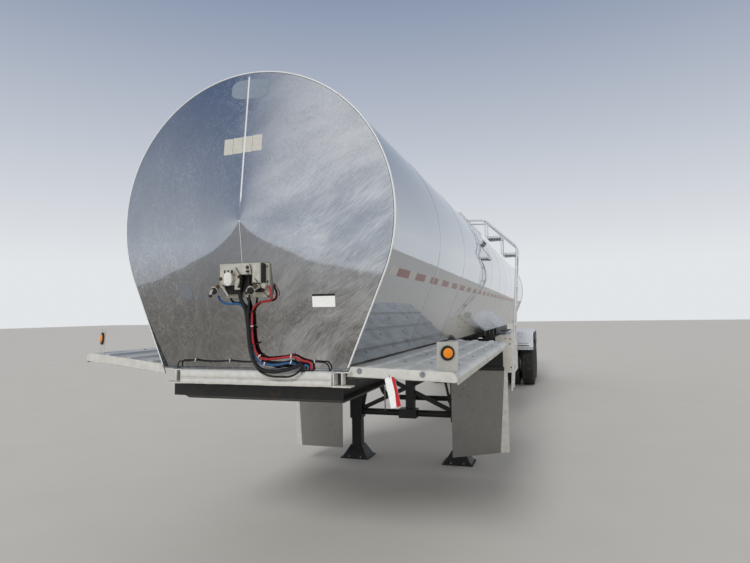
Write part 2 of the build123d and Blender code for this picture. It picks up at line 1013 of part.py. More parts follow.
# Landing feet: inner legs, pyramid shoes and pads on the ground
with BuildPart() as landing_feet:
    for side in (-1, 1):
        with BuildSketch(Plane.XY.offset(shoe_top_z)):
            with Locations((side * leg_x, station(leg_station))):
                RectangleRounded(inner_leg_size, inner_leg_size, leg_sheet)
        extrude(amount=leg_foot_z - shoe_top_z)
        with BuildSketch(Plane.XY.offset(shoe_top_z)):
            with Locations((side * leg_x, station(leg_station))):
                Rectangle(inner_leg_size + 2 * leg_sheet, inner_leg_size + 2 * leg_sheet)
        with BuildSketch(Plane.XY.offset(pad_thickness)):
            with Locations((side * leg_x, station(leg_station))):
                Rectangle(pad_width - 4 * leg_sheet, pad_length - 4 * leg_sheet)
        loft()
        with BuildSketch(Plane.XY):
            with Locations((side * leg_x, station(leg_station))):
                RectangleRounded(pad_width, pad_length, leg_sheet)
        extrude(amount=pad_thickness)
save(landing_feet, "landing_feet")

# Landing gear bracing: cross tube, cross shaft, crossed braces, centre post and thin side stays
leg_inner_x = leg_x - leg_size / 2
frame_low = sole_z - rail_height


def flat_bar(start, end, width):
    """The outline of a flat bar between two points, drawn in the open line block."""
    run = Vector(end[0] - start[0], end[1] - start[1])
    edge = Vector(-run.Y, run.X).normalized() * (width / 2)
    first = Vector(*start)
    final = Vector(*end)
    Polyline(first + edge, final + edge, final - edge, first - edge, close=True)


with BuildPart() as landing_braces:
    with BuildSketch(lengthwise(0)):
        with Locations((station(leg_station), cross_tube_z)):
            Circle(cross_tube_radius)
        with Locations((station(leg_station), shaft_z)):
            Circle(shaft_radius)
    extrude(amount=leg_inner_x, both=True)
    for side in (-1, 1):
        with BuildSketch(across(leg_station)):
            brace_start = (-side * leg_inner_x, brace_low_z)
            brace_end = (side * leg_inner_x, brace_high_z)
            with BuildLine():
                flat_bar(brace_start, brace_end, brace_width)
            make_face()
            stay_start = (side * leg_inner_x, side_stay_low_z)
            stay_end = (side * side_stay_top_x, frame_low)
            with BuildLine():
                flat_bar(stay_start, stay_end, side_stay_width)
            make_face()
        extrude(amount=brace_thickness, both=True)
    post_low = cross_tube_z + cross_tube_radius / 2
    with Locations((post_width / 2, station(leg_station), (post_low + frame_low) / 2)):
        Box(post_width, post_depth, frame_low - post_low)
    with Locations((post_width / 4, station(leg_station), cross_tube_z)):
        Box(hub_block_width, post_depth + 2 * cross_tube_radius, hub_block_height)
    with BuildSketch(Plane.XY.offset(brace_low_z / 2)) as leg_room:
        for side in (-1, 1):
            with Locations((side * leg_x, station(leg_station))):
                Rectangle(leg_size, leg_size)
    extrude(amount=leg_top_z, mode=Mode.SUBTRACT)
    with Locations((0, station(leg_station), frame_low + rail_height / 2)):
        Box(2 * leg_x, leg_size, rail_height, mode=Mode.SUBTRACT)
save(landing_braces, "landing_braces")

# Drain pipe: out of the sole, down and across behind the landing gear, to its valve
drain_y = station(leg_station + drain_station_gap)
with BuildPart() as drain_pipe:
    with BuildLine() as drain_path:
        FilletPolyline(
            (drain_top_x, drain_y, sole_z),
            (drain_top_x, drain_y, drain_z),
            (drain_end_x, drain_y, drain_z),
            radius=drain_bend,
        )
    with BuildSketch(Plane.XY.offset(sole_z)):
        with Locations((drain_top_x, drain_y)):
            Circle(drain_radius)
    sweep()
    with BuildSketch(lengthwise(drain_end_x)):
        with Locations((drain_y, drain_z)):
            Circle(drain_valve_radius)
    extrude(amount=drain_valve_length)
    add(front_frame.part, mode=Mode.SUBTRACT)
save(drain_pipe, "drain_pipe")

# Ladder: two bent rails, rungs, steps with their posts, and stand-offs to the barrel
ladder_foot = (overall_width / 2 - ladder_foot_inset, ladder_foot_z)
ladder_knee = (overall_width / 2 - ladder_knee_inset, ladder_knee_z)
ladder_lean = (ladder_knee[0] - ladder_foot[0]) / (ladder_knee[1] - ladder_foot[1])


def ladder_x(z):
    """How far out the ladder's lower rail stands at height z."""
    return ladder_foot[0] + (z - ladder_foot[1]) * ladder_lean


def shoulder_z(x):
    """Height of the handrail above a step at x."""
    share = (ladder_knee[0] - x) / (ladder_knee[0] - ladder_shoulder[0])
    return ladder_knee[1] + share * (ladder_shoulder[1] - ladder_knee[1])


with BuildPart() as ladder:
    for side in (-1, 1):
        rail_y = station(ladder_station) + side * ladder_half_width
        with BuildLine() as rail_path:
            FilletPolyline(
                (ladder_foot[0], rail_y, ladder_foot[1]),
                (ladder_knee[0], rail_y, ladder_knee[1]),
                (ladder_shoulder[0], rail_y, ladder_shoulder[1]),
                (ladder_top[0], rail_y, ladder_top[1]),
                (ladder_top[0], rail_y, walkway_top),
                radius=[2 * rail_bend, 2 * rail_bend, rail_bend / 3],
            )
        with BuildSketch(Plane(origin=rail_path.line @ 0, z_dir=rail_path.line % 0)):
            Circle(rail_radius)
        sweep()
        for z in standoff_heights:
            with BuildSketch(lengthwise(barrel_x(z) - standoff_radius)):
                with Locations((rail_y, z)):
                    Circle(standoff_radius)
            extrude(amount=ladder_x(z) - barrel_x(z) + standoff_radius)
    for index in range(rung_count):
        z = rung_first_z + index * rung_pitch
        with BuildSketch(Plane.XZ.offset(-station(ladder_station))):
            with Locations((ladder_x(z), z)):
                Circle(rung_radius)
        extrude(amount=ladder_half_width, both=True)
    post_y = ladder_half_width - rail_radius / 2
    for x, z in step_centres:
        with Locations((x, station(ladder_station), z - step_sheet / 2)):
            Box(step_depth, 2 * ladder_half_width, step_sheet)
        for post_x in (x - step_depth / 3, x + step_depth / 3):
            for side in (-1, 1):
                with BuildSketch(Plane.XY.offset(z - step_sheet / 2)):
                    with Locations((post_x, station(ladder_station) + side * post_y)):
                        Circle(step_post_radius)
                extrude(amount=shoulder_z(post_x) - z + step_sheet / 2)
    add(tank_barrel.part, mode=Mode.SUBTRACT)
save(ladder, "ladder")

# Walkway: a slotted plate over the crown, with side skirts down to the barrel
walkway_middle = station(walkway_start + walkway_length / 2)
with BuildPart() as walkway:
    with Locations((0, walkway_middle, walkway_top - walkway_sheet / 2)):
        Box(2 * walkway_half_width, walkway_length, walkway_sheet)
    skirt_height = walkway_top - barrel_z
    for side in (-1, 1):
        skirt_x = side * (walkway_half_width - walkway_skirt / 2)
        with Locations((skirt_x, walkway_middle, walkway_top - skirt_height / 2)):
            Box(walkway_skirt, walkway_length, skirt_height)
    add(tank_barrel.part, mode=Mode.SUBTRACT)
    add(jacket_bands.part, mode=Mode.SUBTRACT)
    slot_columns = int(walkway_length // (slot_length + slot_pitch))
    with BuildSketch(Plane.XY.offset(walkway_top)):
        for side in (-1, 1):
            slot_x = side * (neck_radius + neck_flange + walkway_hole_gap + slot_pitch / 2)
            with Locations((slot_x, walkway_middle)):
                with GridLocations(0, slot_length + slot_pitch, 1, slot_columns):
                    SlotOverall(slot_length, slot_width, rotation=90)
        with Locations((0, station(manhole_station))):
            Circle(neck_radius + neck_flange + walkway_hole_gap)
        for side in (-1, 1):
            with Locations((side * vent_spacing / 2, station(vent_station))):
                Circle(vent_cap_radius)
    extrude(amount=-2 * walkway_sheet, mode=Mode.SUBTRACT)
save(walkway, "walkway")

# Manhole neck on the crown, with the hinge ears and their pin
neck_top = crown_z + neck_rise
manhole_y = station(manhole_station)
hinge_y = manhole_y + hinge_reach
hinge_z = neck_top + hinge_rise
ear_x = knuckle_half_length + hinge_ear_gap + hinge_ear_sheet / 2
with BuildPart() as manhole_neck:
    with BuildSketch(Plane.XY.offset(crown_z - neck_rise)):
        with Locations((0, manhole_y)):
            Circle(neck_radius)
            Circle(neck_radius - neck_wall, mode=Mode.SUBTRACT)
    extrude(amount=2 * neck_rise)
    with BuildSketch(Plane.XY.offset(neck_top - neck_flange_height)):
        with Locations((0, manhole_y)):
            Circle(neck_radius + neck_flange)
            Circle(neck_radius - neck_wall, mode=Mode.SUBTRACT)
    extrude(amount=neck_flange_height)
    for side in (-1, 1):
        with BuildSketch(lengthwise(side * ear_x)):
            with BuildLine():
                root_y = manhole_y + neck_radius - neck_wall / 2
                Polyline(
                    (root_y, neck_top - neck_flange_height),
                    (root_y, neck_top - 3 * neck_flange_height),
                    (hinge_y, hinge_z - 2 * knuckle_radius),
                    (hinge_y + knuckle_radius, hinge_z),
                    (hinge_y, hinge_z + knuckle_radius),
                    (hinge_y - knuckle_radius, hinge_z),
                    close=True,
                )
            make_face()
        extrude(amount=hinge_ear_sheet / 2, both=True)
    with BuildSketch(lengthwise(0)):
        with Locations((hinge_y, hinge_z)):
            Circle(hinge_pin_radius)
    extrude(amount=ear_x + hinge_ear_sheet, both=True)
    add(tank_barrel.part, mode=Mode.SUBTRACT)
save(manhole_neck, "manhole_neck")

# Manhole lid: a domed plate with an arm to its hinge knuckle
with BuildPart() as manhole_lid:
    with BuildSketch(Plane.XZ.offset(-manhole_y)):
        lid_low = neck_top + lid_gap
        with BuildLine():
            Polyline((0, lid_low + lid_thickness + lid_dome), (0, lid_low), (lid_radius, lid_low))
            Line((lid_radius, lid_low), (lid_radius, lid_low + lid_thickness))
            Polyline(
                (lid_radius, lid_low + lid_thickness),
                (lid_flat_radius, lid_low + lid_thickness + lid_dome),
                (0, lid_low + lid_thickness + lid_dome),
            )
        make_face()
    revolve(axis=Axis((0, manhole_y, 0), (0, 0, 1)))
    arm_start = manhole_y + lid_radius - 2 * lid_thickness
    with Locations((0, (arm_start + hinge_y) / 2, hinge_z)):
        Box(2 * knuckle_half_length, hinge_y - arm_start, lid_thickness)
    with BuildSketch(lengthwise(0)):
        with Locations((hinge_y, hinge_z)):
            Circle(knuckle_radius)
    extrude(amount=knuckle_half_length, both=True)
    with BuildSketch(lengthwise(0)):
        with Locations((hinge_y, hinge_z)):
            Circle(hinge_pin_radius + hinge_fit)
    extrude(amount=ear_x, both=True, mode=Mode.SUBTRACT)
save(manhole_lid, "manhole_lid")

# Relief vents ahead of the manhole
with BuildPart() as relief_vents:
    for side in (-1, 1):
        with BuildSketch(Plane.XY.offset(crown_z - vent_height)):
            with Locations((side * vent_spacing / 2, station(vent_station))):
                Circle(vent_radius)
        extrude(amount=vent_height + (walkway_top - crown_z) + vent_height / 3)
        with BuildSketch(Plane.XY.offset(walkway_top + vent_height / 3)):
            with Locations((side * vent_spacing / 2, station(vent_station))):
                Circle(vent_cap_radius)
        extrude(amount=vent_height / 2, taper=vent_cap_taper)
    add(tank_barrel.part, mode=Mode.SUBTRACT)
save(relief_vents, "relief_vents")

# Side cabinet: a sheet box that is open on the outside, with hinge pins on its front edge
cabinet_height = sole_z - cabinet_foot_z
cabinet_width = cabinet_outer_x - cabinet_inner_x
cabinet_centre = Vector(
    (cabinet_outer_x + cabinet_inner_x) / 2,
    station(cabinet_start + cabinet_length / 2),
    (sole_z + cabinet_foot_z) / 2,
)
door_hinge_x = cabinet_outer_x + door_gap + door_hinge_radius
door_hinge_y = station(cabinet_start) - door_hinge_reach
door_hinge_heights = (
    cabinet_foot_z + door_hinge_inset,
    sole_z - door_hinge_inset,
)
with BuildPart() as side_cabinet:
    with Locations(cabinet_centre):
        Box(cabinet_width, cabinet_length, cabinet_height)
    with Locations(cabinet_centre + Vector(cabinet_wall, 0, 0)):
        Box(
            cabinet_width,
            cabinet_length - 2 * cabinet_wall,
            cabinet_height - 2 * cabinet_wall,
            mode=Mode.SUBTRACT,
        )
    for z in door_hinge_heights:
        bracket_z = z - door_knuckle_length / 2 - cabinet_wall - door_gap
        with BuildSketch(Plane.XY.offset(bracket_z)):
            with BuildLine():
                Polyline(
                    (cabinet_outer_x - 4 * cabinet_wall, station(cabinet_start) + cabinet_wall / 2),
                    (cabinet_outer_x - 4 * cabinet_wall, station(cabinet_start) - cabinet_wall),
                    (door_hinge_x - door_hinge_radius, door_hinge_y - door_hinge_radius),
                    (door_hinge_x + door_hinge_radius, door_hinge_y - door_hinge_radius),
                    (door_hinge_x + door_hinge_radius, door_hinge_y),
                    (cabinet_outer_x, station(cabinet_start) - cabinet_wall / 2),
                    (cabinet_outer_x, station(cabinet_start) + cabinet_wall / 2),
                    close=True,
                )
            make_face()
        extrude(amount=cabinet_wall)
        with BuildSketch(Plane.XY.offset(bracket_z)):
            with Locations((door_hinge_x, door_hinge_y)):
                Circle(door_hinge_pin_radius)
        extrude(amount=cabinet_wall + 2 * door_gap + door_knuckle_length)
save(side_cabinet, "side_cabinet")

# Cabinet door: a plate that covers the opening, with two knuckles on its front edge
with BuildPart() as cabinet_door:
    door_z = (sole_z + cabinet_foot_z) / 2 - door_margin / 2
    door_height = cabinet_height - door_margin
    door_middle = cabinet_centre.Y + cabinet_wall / 2
    with Locations((cabinet_outer_x + door_gap + door_sheet / 2, door_middle, door_z)):
        Box(door_sheet, cabinet_length - cabinet_wall, door_height)
    for z in door_hinge_heights:
        with BuildSketch(Plane.XY.offset(z - door_knuckle_length / 2)):
            with Locations((door_hinge_x, door_hinge_y)):
                Circle(door_hinge_radius)
            with BuildLine():
                Polyline(
                    (cabinet_outer_x + door_gap, station(cabinet_start) + 2 * cabinet_wall),
                    (cabinet_outer_x + door_gap, door_hinge_y),
                    (cabinet_outer_x + door_gap + door_sheet, door_hinge_y),
                    (cabinet_outer_x + door_gap + door_sheet, station(cabinet_start) + 2 * cabinet_wall),
                    close=True,
                )
            make_face()
            with Locations((door_hinge_x, door_hinge_y)):
                Circle(door_hinge_pin_radius + hinge_fit, mode=Mode.SUBTRACT)
        extrude(amount=door_knuckle_length)
save(cabinet_door, "cabinet_door")

# Rear frame: deep rails and cross members that carry the suspension, and the air tank
axle_stations = (axle_station, axle_station + axle_spread)
axle_z = tyre_radius
rear_low = sole_z - rear_frame_height
with BuildPart() as rear_frame:
    for side in (-1, 1):
        rail = rail_section(side, rear_frame_start, rear_frame_height)
        extrude(rail, amount=rear_frame_start - rear_frame_end)
    first = rear_frame_start + cross_member_depth / 2
    final = rear_frame_end - cross_member_depth / 2
    hangers = [distance - hanger_lead for distance in axle_stations]
    cross_members((first, *hangers, final), rear_frame_height)
    tank_y = station(rear_frame_start - tank_setback)
    tank_z = sole_z - tank_drop - tank_radius
    with BuildSketch(lengthwise(-tank_half_length)):
        with Locations((tank_y, tank_z)):
            Circle(tank_radius)
    extrude(amount=2 * tank_half_length)
    chamfer(rear_frame.edges().filter_by(GeomType.CIRCLE), length=tank_end)
    for side in (-1, 1):
        with Locations((side * tank_strap_x, tank_y, (sole_z + tank_z) / 2)):
            Box(tank_strap_width, 2 * (tank_radius + tank_strap_sheet), sole_z - tank_z)
        with BuildSketch(lengthwise(side * tank_strap_x - tank_strap_width / 2)):
            with Locations((tank_y, tank_z)):
                Circle(tank_radius + tank_strap_sheet)
        extrude(amount=tank_strap_width)
    add(rear_head.part, mode=Mode.SUBTRACT)
save(rear_frame, "rear_frame")

# Suspension: hangers under the rails and trailing arms over the axles
with BuildPart() as suspension_arms:
    for distance in axle_stations:
        for side in (-1, 1):
            hanger_y = station(distance - hanger_lead)
            with BuildSketch(lengthwise(side * arm_x)):
                with BuildLine():
                    Polyline(
                        (hanger_y - hanger_length / 2, rear_low),
                        (hanger_y + hanger_length, rear_low),
                        (hanger_y + hanger_length / 3, hanger_foot_z),
                        (hanger_y - hanger_length / 3, hanger_foot_z),
                        close=True,
                    )
                make_face()
            extrude(amount=hanger_width / 2, both=True)
            with BuildSketch(lengthwise(side * arm_x)):
                with BuildLine():
                    seat_z = axle_z + axle_radius
                    axle_y = station(distance)
                    Polyline(
                        (hanger_y, arm_pivot_z - arm_depth),
                        (hanger_y, arm_pivot_z + arm_depth),
                        (axle_y, seat_z + 2 * arm_depth),
                        (axle_y + arm_tail, arm_tail_z + arm_depth),
                        (axle_y + arm_tail, arm_tail_z),
                        (axle_y + axle_radius, seat_z),
                        (axle_y - axle_radius, seat_z),
                        close=True,
                    )
                make_face()
            extrude(amount=arm_width / 2, both=True)
save(suspension_arms, "suspension_arms")

# Air springs between the arms' tails and the rails
with BuildPart() as air_springs:
    for distance in axle_stations:
        for side in (-1, 1):
            spring_y = station(distance + air_spring_setback)
            with BuildSketch(Plane(origin=(side * arm_x, spring_y, arm_tail_z + arm_depth))):
                Circle(piston_radius)
            extrude(amount=piston_height)
            bellows_low = arm_tail_z + arm_depth + piston_height
            bellows_top = rear_low - bellows_plate
            with BuildSketch(Plane.XZ.offset(-spring_y)):
                x0 = side * arm_x
                middle_z = (bellows_low + bellows_top) / 2
                with BuildLine():
                    Polyline(
                        (x0, bellows_low),
                        (x0 + bellows_waist_radius, bellows_low),
                        (x0 + bellows_radius, bellows_low + bellows_land),
                        (x0 + bellows_radius, middle_z - bellows_land),
                        (x0 + bellows_waist_radius, middle_z),
                        (x0 + bellows_radius, middle_z + bellows_land),
                        (x0 + bellows_radius, bellows_top - bellows_land),
                        (x0 + bellows_waist_radius, bellows_top),
                        (x0, bellows_top),
                        close=True,
                    )
                make_face()
            revolve(axis=Axis((x0, spring_y, 0), (0, 0, 1)))
            with BuildSketch(Plane(origin=(side * arm_x, spring_y, bellows_top))):
                Circle(bellows_waist_radius)
            extrude(amount=bellows_plate)
    add(suspension_arms.part, mode=Mode.SUBTRACT)
save(air_springs, "air_springs")

# Axles: tubes with spindles, brake shields and brake chambers
dual_x = overall_width / 2 - tyre_width / 2 - dual_spacing / 2
axle_half_length = dual_x - drum_inboard - axle_end_gap
spindle_end = dual_x + hub_outboard - spindle_end_gap
with BuildPart() as axles:
    for distance in axle_stations:
        axle_y = station(distance)
        with BuildSketch(lengthwise(0)):
            with Locations((axle_y, axle_z)):
                Circle(axle_radius)
        extrude(amount=axle_half_length, both=True)
        with BuildSketch(lengthwise(0)):
            with Locations((axle_y, axle_z)):
                Circle(spindle_radius)
        extrude(amount=spindle_end, both=True)
        for side in (-1, 1):
            shield_x = dual_x - drum_inboard - 2 * shield_sheet
            with BuildSketch(lengthwise(side * shield_x)):
                with Locations((axle_y, axle_z)):
                    Circle(shield_radius)
            extrude(amount=side * shield_sheet)
            chamber_y = axle_y + chamber_setback
            chamber_z = axle_z + chamber_z_rise
            with BuildSketch(lengthwise(side * chamber_x)):
                with Locations((chamber_y, chamber_z)):
                    Circle(chamber_radius)
            extrude(amount=-side * chamber_length)
            bracket_x = side * (chamber_x - chamber_length / 2)
            with BuildSketch(lengthwise(bracket_x)):
                with BuildLine():
                    flat_bar((axle_y, axle_z), (chamber_y, chamber_z), axle_radius)
                make_face()
            extrude(amount=chamber_length / 4, both=True)
save(axles, "axles")


def build_rims(side, distance):
    """Two rims, their discs, the hub, the cap and the drum, turned about the axle."""
    centre = Vector(side * dual_x, station(distance), axle_z)
    face = Plane(origin=centre, x_dir=(side, 0, 0), z_dir=(0, -side, 0))
    barrel_low = rim_seat_radius - rim_barrel_sheet
    with BuildPart() as rims:
        with BuildSketch(face):
            for half in (-1, 1):
                rim_x = half * dual_spacing / 2
                with Locations((rim_x, (rim_seat_radius + barrel_low) / 2)):
                    Rectangle(2 * rim_half_width, rim_barrel_sheet)
                for edge in (-1, 1):
                    edge_x = rim_x + edge * (rim_half_width - flange_sheet / 2)
                    with Locations((edge_x, (flange_radius + barrel_low) / 2)):
                        Rectangle(flange_sheet, flange_radius - barrel_low)
                with BuildLine():
                    Polyline(
                        (0, disc_inner_radius),
                        (0, disc_bend_radius),
                        (half * disc_offset, barrel_low + rim_barrel_sheet / 2),
                        (half * (disc_offset + disc_sheet), barrel_low + rim_barrel_sheet / 2),
                        (half * disc_sheet, disc_bend_radius),
                        (half * disc_sheet, disc_inner_radius),
                        close=True,
                    )
                make_face()
            hub_low = spindle_radius + hub_fit
            with Locations(((hub_outboard - hub_inboard) / 2, (hub_radius + hub_low) / 2)):
                Rectangle(hub_outboard + hub_inboard, hub_radius - hub_low)
            with Locations((hub_outboard + hub_cap_length / 2, hub_cap_radius / 2)):
                Rectangle(hub_cap_length, hub_cap_radius)
            with Locations((-drum_inboard / 2, drum_radius - drum_wall / 2)):
                Rectangle(drum_inboard, drum_wall)
            with Locations((-drum_face / 2, (drum_radius + disc_inner_radius) / 2)):
                Rectangle(drum_face, drum_radius - disc_inner_radius)
        revolve(axis=Axis(centre, (1, 0, 0)))
        with BuildSketch(Plane(origin=centre, x_dir=(0, 1, 0), z_dir=(side, 0, 0))):
            with PolarLocations(hand_hole_circle + hand_hole_radius / 2, hand_hole_count):
                Circle(hand_hole_radius)
        extrude(amount=disc_offset + 2 * disc_sheet, mode=Mode.SUBTRACT)
    return rims


def build_tyres(side, distance):
    """A pair of tyres, turned about the axle."""
    centre = Vector(side * dual_x, station(distance), axle_z)
    face = Plane(origin=centre, x_dir=(side, 0, 0), z_dir=(0, -side, 0))
    bead_x = rim_half_width - flange_sheet - tyre_fit
    bead_low = rim_seat_radius + tyre_fit
    bead_top = flange_radius + tyre_fit
    shoulder = tyre_radius - shoulder_drop
    with BuildPart() as tyres:
        for half in (-1, 1):
            with BuildSketch(face):
                x0 = half * dual_spacing / 2
                half_profile = (
                    # distance from the tyre's middle, radius
                    (bead_x, bead_low),
                    (bead_x, bead_top),
                    (tyre_width / 2, bulge_radius - bulge_land),
                    (tyre_width / 2, bulge_radius + bulge_land),
                    (tread_half_width, shoulder),
                    (tread_half_width - shoulder_drop, tyre_radius),
                )
                left = [(x0 - x, radius) for x, radius in half_profile]
                right = [(x0 + x, radius) for x, radius in reversed(half_profile)]
                with BuildLine():
                    Polyline(*left, *right, close=True)
                make_face()
            revolve(axis=Axis(centre, (1, 0, 0)))
    return tyres


wheel_places = (
    # name, side, station of the axle
    ("front_left", -1, axle_stations[0]),
    ("front_right", 1, axle_stations[0]),
    ("rear_left", -1, axle_stations[1]),
    ("rear_right", 1, axle_stations[1]),
)
for name, side, distance in wheel_places:
    rims = build_rims(side, distance)
    save(rims, f"rims_{name}")
    tyres = build_tyres(side, distance)
    save(tyres, f"tyres_{name}")

# Fenders over the tandem, each a bent sheet with an outer skirt on three bars
with BuildPart() as rear_fenders:
    for side in (-1, 1):
        inner = side * fender_inner_x
        fender_width = overall_width / 2 - fender_inner_x
        arch = (
            # distance behind the rim plane, height
            (fender_start, fender_foot_z),
            (fender_start, fender_foot_z + fender_hem),
            (fender_start + fender_slope, fender_top_z),
            (fender_end - fender_slope, fender_top_z),
            (fender_end, fender_foot_z + fender_hem),
            (fender_end, fender_foot_z),
        )
        with BuildSketch(lengthwise(inner)):
            with BuildLine() as arch_line:
                Polyline(*[(station(distance), z) for distance, z in arch])
                offset(amount=fender_sheet, side=Side.RIGHT, kind=Kind.INTERSECTION)
            make_face()
        extrude(amount=side * fender_width)
        with BuildSketch(lengthwise(side * (overall_width / 2))):
            with BuildLine():
                outer = [(station(distance), z) for distance, z in arch]
                low = fender_top_z - fender_skirt
                Polyline(
                    outer[2],
                    outer[3],
                    (outer[3][0] + fender_sheet, low),
                    (outer[2][0] - fender_sheet, low),
                    close=True,
                )
            make_face()
        extrude(amount=-side * fender_sheet)
        bar_lead = fender_half_length - 2 * fender_slope
        for distance in (tandem_middle - bar_lead, tandem_middle, tandem_middle + bar_lead):
            bar_place = (station(distance), fender_top_z - fender_bar_drop)
            with BuildSketch(lengthwise(side * frame_half_width)):
                with Locations(bar_place):
                    Circle(fender_bar_radius)
            extrude(amount=side * (overall_width / 2 - frame_half_width - fender_sheet))
save(rear_fenders, "rear_fenders")

# Mud flaps on the rear ends of the fenders
flap_width = overall_width / 2 - fender_inner_x - 2 * flap_margin
with BuildPart() as mud_flaps:
    for side in (-1, 1):
        flap_x = side * (overall_width / 2 + fender_inner_x) / 2
        flap_top = fender_foot_z + fender_hem - fender_sheet
        with Locations(
            (
                flap_x,
                station(fender_end) + flap_thickness / 2,
                (flap_top + flap_foot_z) / 2,
            )
        ):
            Box(flap_width, flap_thickness, flap_top - flap_foot_z)
save(mud_flaps, "mud_flaps")

# Rear bumper: two posts under the rails, the bar and the lamp board
bumper_rear = overall_length / 2
bumper_half_width = overall_width / 2 - bumper_inset
post_rear = station(rear_frame_end)
with BuildPart() as rear_bumper:
    with Locations((0, bumper_rear - bumper_size / 2, bumper_z)):
        Box(2 * bumper_half_width, bumper_size, bumper_size)
    for side in (-1, 1):
        post_x = side * (frame_half_width - bumper_post_width / 2)
        with BuildSketch(lengthwise(post_x)):
            with BuildLine():
                Polyline(
                    (post_rear, rear_low),
                    (post_rear - 2 * bumper_post_width, rear_low),
                    (bumper_rear - bumper_size, bumper_z - bumper_size / 2),
                    (bumper_rear, bumper_z - bumper_size / 2),
                    (bumper_rear, bumper_z + bumper_size / 2),
                    close=True,
                )
            make_face()
        extrude(amount=bumper_post_width / 2, both=True)
    with Locations((0, post_rear + lamp_board_sheet / 2, lamp_board_z)):
        Box(2 * bumper_half_width, lamp_board_sheet, lamp_board_height)
save(rear_bumper, "rear_bumper")

# Rear lamps on the lamp board
with BuildPart() as rear_lamps:
    for inset in rear_lamp_insets:
        for side in (-1, 1):
            with BuildSketch(across(rear_frame_end + lamp_board_sheet)):
                with Locations((side * (overall_width / 2 - inset), lamp_board_z)):
                    Circle(rear_lamp_radius)
            extrude(amount=-rear_lamp_depth)
save(rear_lamps, "rear_lamps")

# Rear outlet: a pipe out of the head, its valve and the open end
with BuildPart() as outlet_valve:
    outlet_end = barrel_length + outlet_reach
    with BuildSketch(across(barrel_length)):
        with Locations((0, outlet_z)):
            Circle(outlet_radius)
    extrude(amount=barrel_length - outlet_end)
    with BuildSketch(across(outlet_end - outlet_reach / 2)):
        with Locations((0, outlet_z)):
            Circle(valve_radius)
    extrude(amount=-valve_length)
    with BuildSketch(across(outlet_end - outlet_collar_length)):
        with Locations((0, outlet_z)):
            Circle(outlet_collar_radius)
    extrude(amount=-outlet_collar_length)
    with BuildSketch(across(outlet_end)):
        with Locations((0, outlet_z)):
            Circle(outlet_bore)
    extrude(amount=bore_depth, mode=Mode.SUBTRACT)
    add(rear_head.part, mode=Mode.SUBTRACT)
save(outlet_valve, "outlet_valve")
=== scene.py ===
# %% [markdown]
# # A polished tank semi-trailer, parked on its landing gear
#
# The frame, the jacket, the wheels and the hinges come from a CAD model, in metres and in
# their own places. This lesson gives each surface the finish of its real material, and adds
# what is too fine for solids: seams, fasteners, clips, tread, tape and trim.

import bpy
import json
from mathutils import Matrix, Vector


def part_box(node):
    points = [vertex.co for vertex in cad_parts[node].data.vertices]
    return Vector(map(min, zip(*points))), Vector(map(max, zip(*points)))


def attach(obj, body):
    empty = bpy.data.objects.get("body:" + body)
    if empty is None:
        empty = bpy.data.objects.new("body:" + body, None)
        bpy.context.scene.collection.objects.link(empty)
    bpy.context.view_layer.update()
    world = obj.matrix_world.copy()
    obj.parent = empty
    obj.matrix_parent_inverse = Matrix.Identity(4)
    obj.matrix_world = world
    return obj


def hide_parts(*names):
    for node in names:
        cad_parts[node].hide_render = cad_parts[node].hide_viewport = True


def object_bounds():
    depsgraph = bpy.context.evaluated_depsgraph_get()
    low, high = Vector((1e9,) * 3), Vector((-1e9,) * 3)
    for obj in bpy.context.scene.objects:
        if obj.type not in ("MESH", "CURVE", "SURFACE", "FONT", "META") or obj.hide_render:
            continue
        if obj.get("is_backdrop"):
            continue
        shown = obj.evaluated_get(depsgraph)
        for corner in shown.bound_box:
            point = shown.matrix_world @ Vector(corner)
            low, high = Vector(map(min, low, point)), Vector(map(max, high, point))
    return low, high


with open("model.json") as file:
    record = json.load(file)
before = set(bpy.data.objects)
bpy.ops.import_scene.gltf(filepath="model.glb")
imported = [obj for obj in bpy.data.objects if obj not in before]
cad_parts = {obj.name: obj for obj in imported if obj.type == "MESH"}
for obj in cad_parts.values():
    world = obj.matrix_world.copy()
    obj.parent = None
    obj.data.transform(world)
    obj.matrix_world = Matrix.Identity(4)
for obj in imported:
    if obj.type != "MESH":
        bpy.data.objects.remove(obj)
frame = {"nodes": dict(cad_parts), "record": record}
cad_low, cad_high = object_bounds()

# %% Modules and units
import json
from math import acos, atan2, cos, hypot, pi, radians, sin, sqrt, tau

import bmesh
import bpy
from mathutils import Matrix, Vector

MM = 0.001
X_AXIS, Y_AXIS, Z_AXIS = Vector((1, 0, 0)), Vector((0, 1, 0)), Vector((0, 0, 1))
scene = bpy.context.scene
rim_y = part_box("tank_barrel")[0].y
tank_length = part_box("tank_barrel")[1].y - rim_y


def at(x, distance, z):
    """A point in the trailer's frame, from millimetres. Distance is counted from the front rim."""
    return Vector((x * MM, rim_y + distance * MM, z * MM))


print("front rim at y", round(rim_y, 4), "tank length", round(tank_length, 3))

# %% [markdown]
# ## Camera
#
# The photograph was taken with a wide phone lens by someone standing just off the right front
# corner. The lens, place and turn below were worked out from the round rim, the landing legs and
# the long edge of the barrel, all of which have known places on the model.

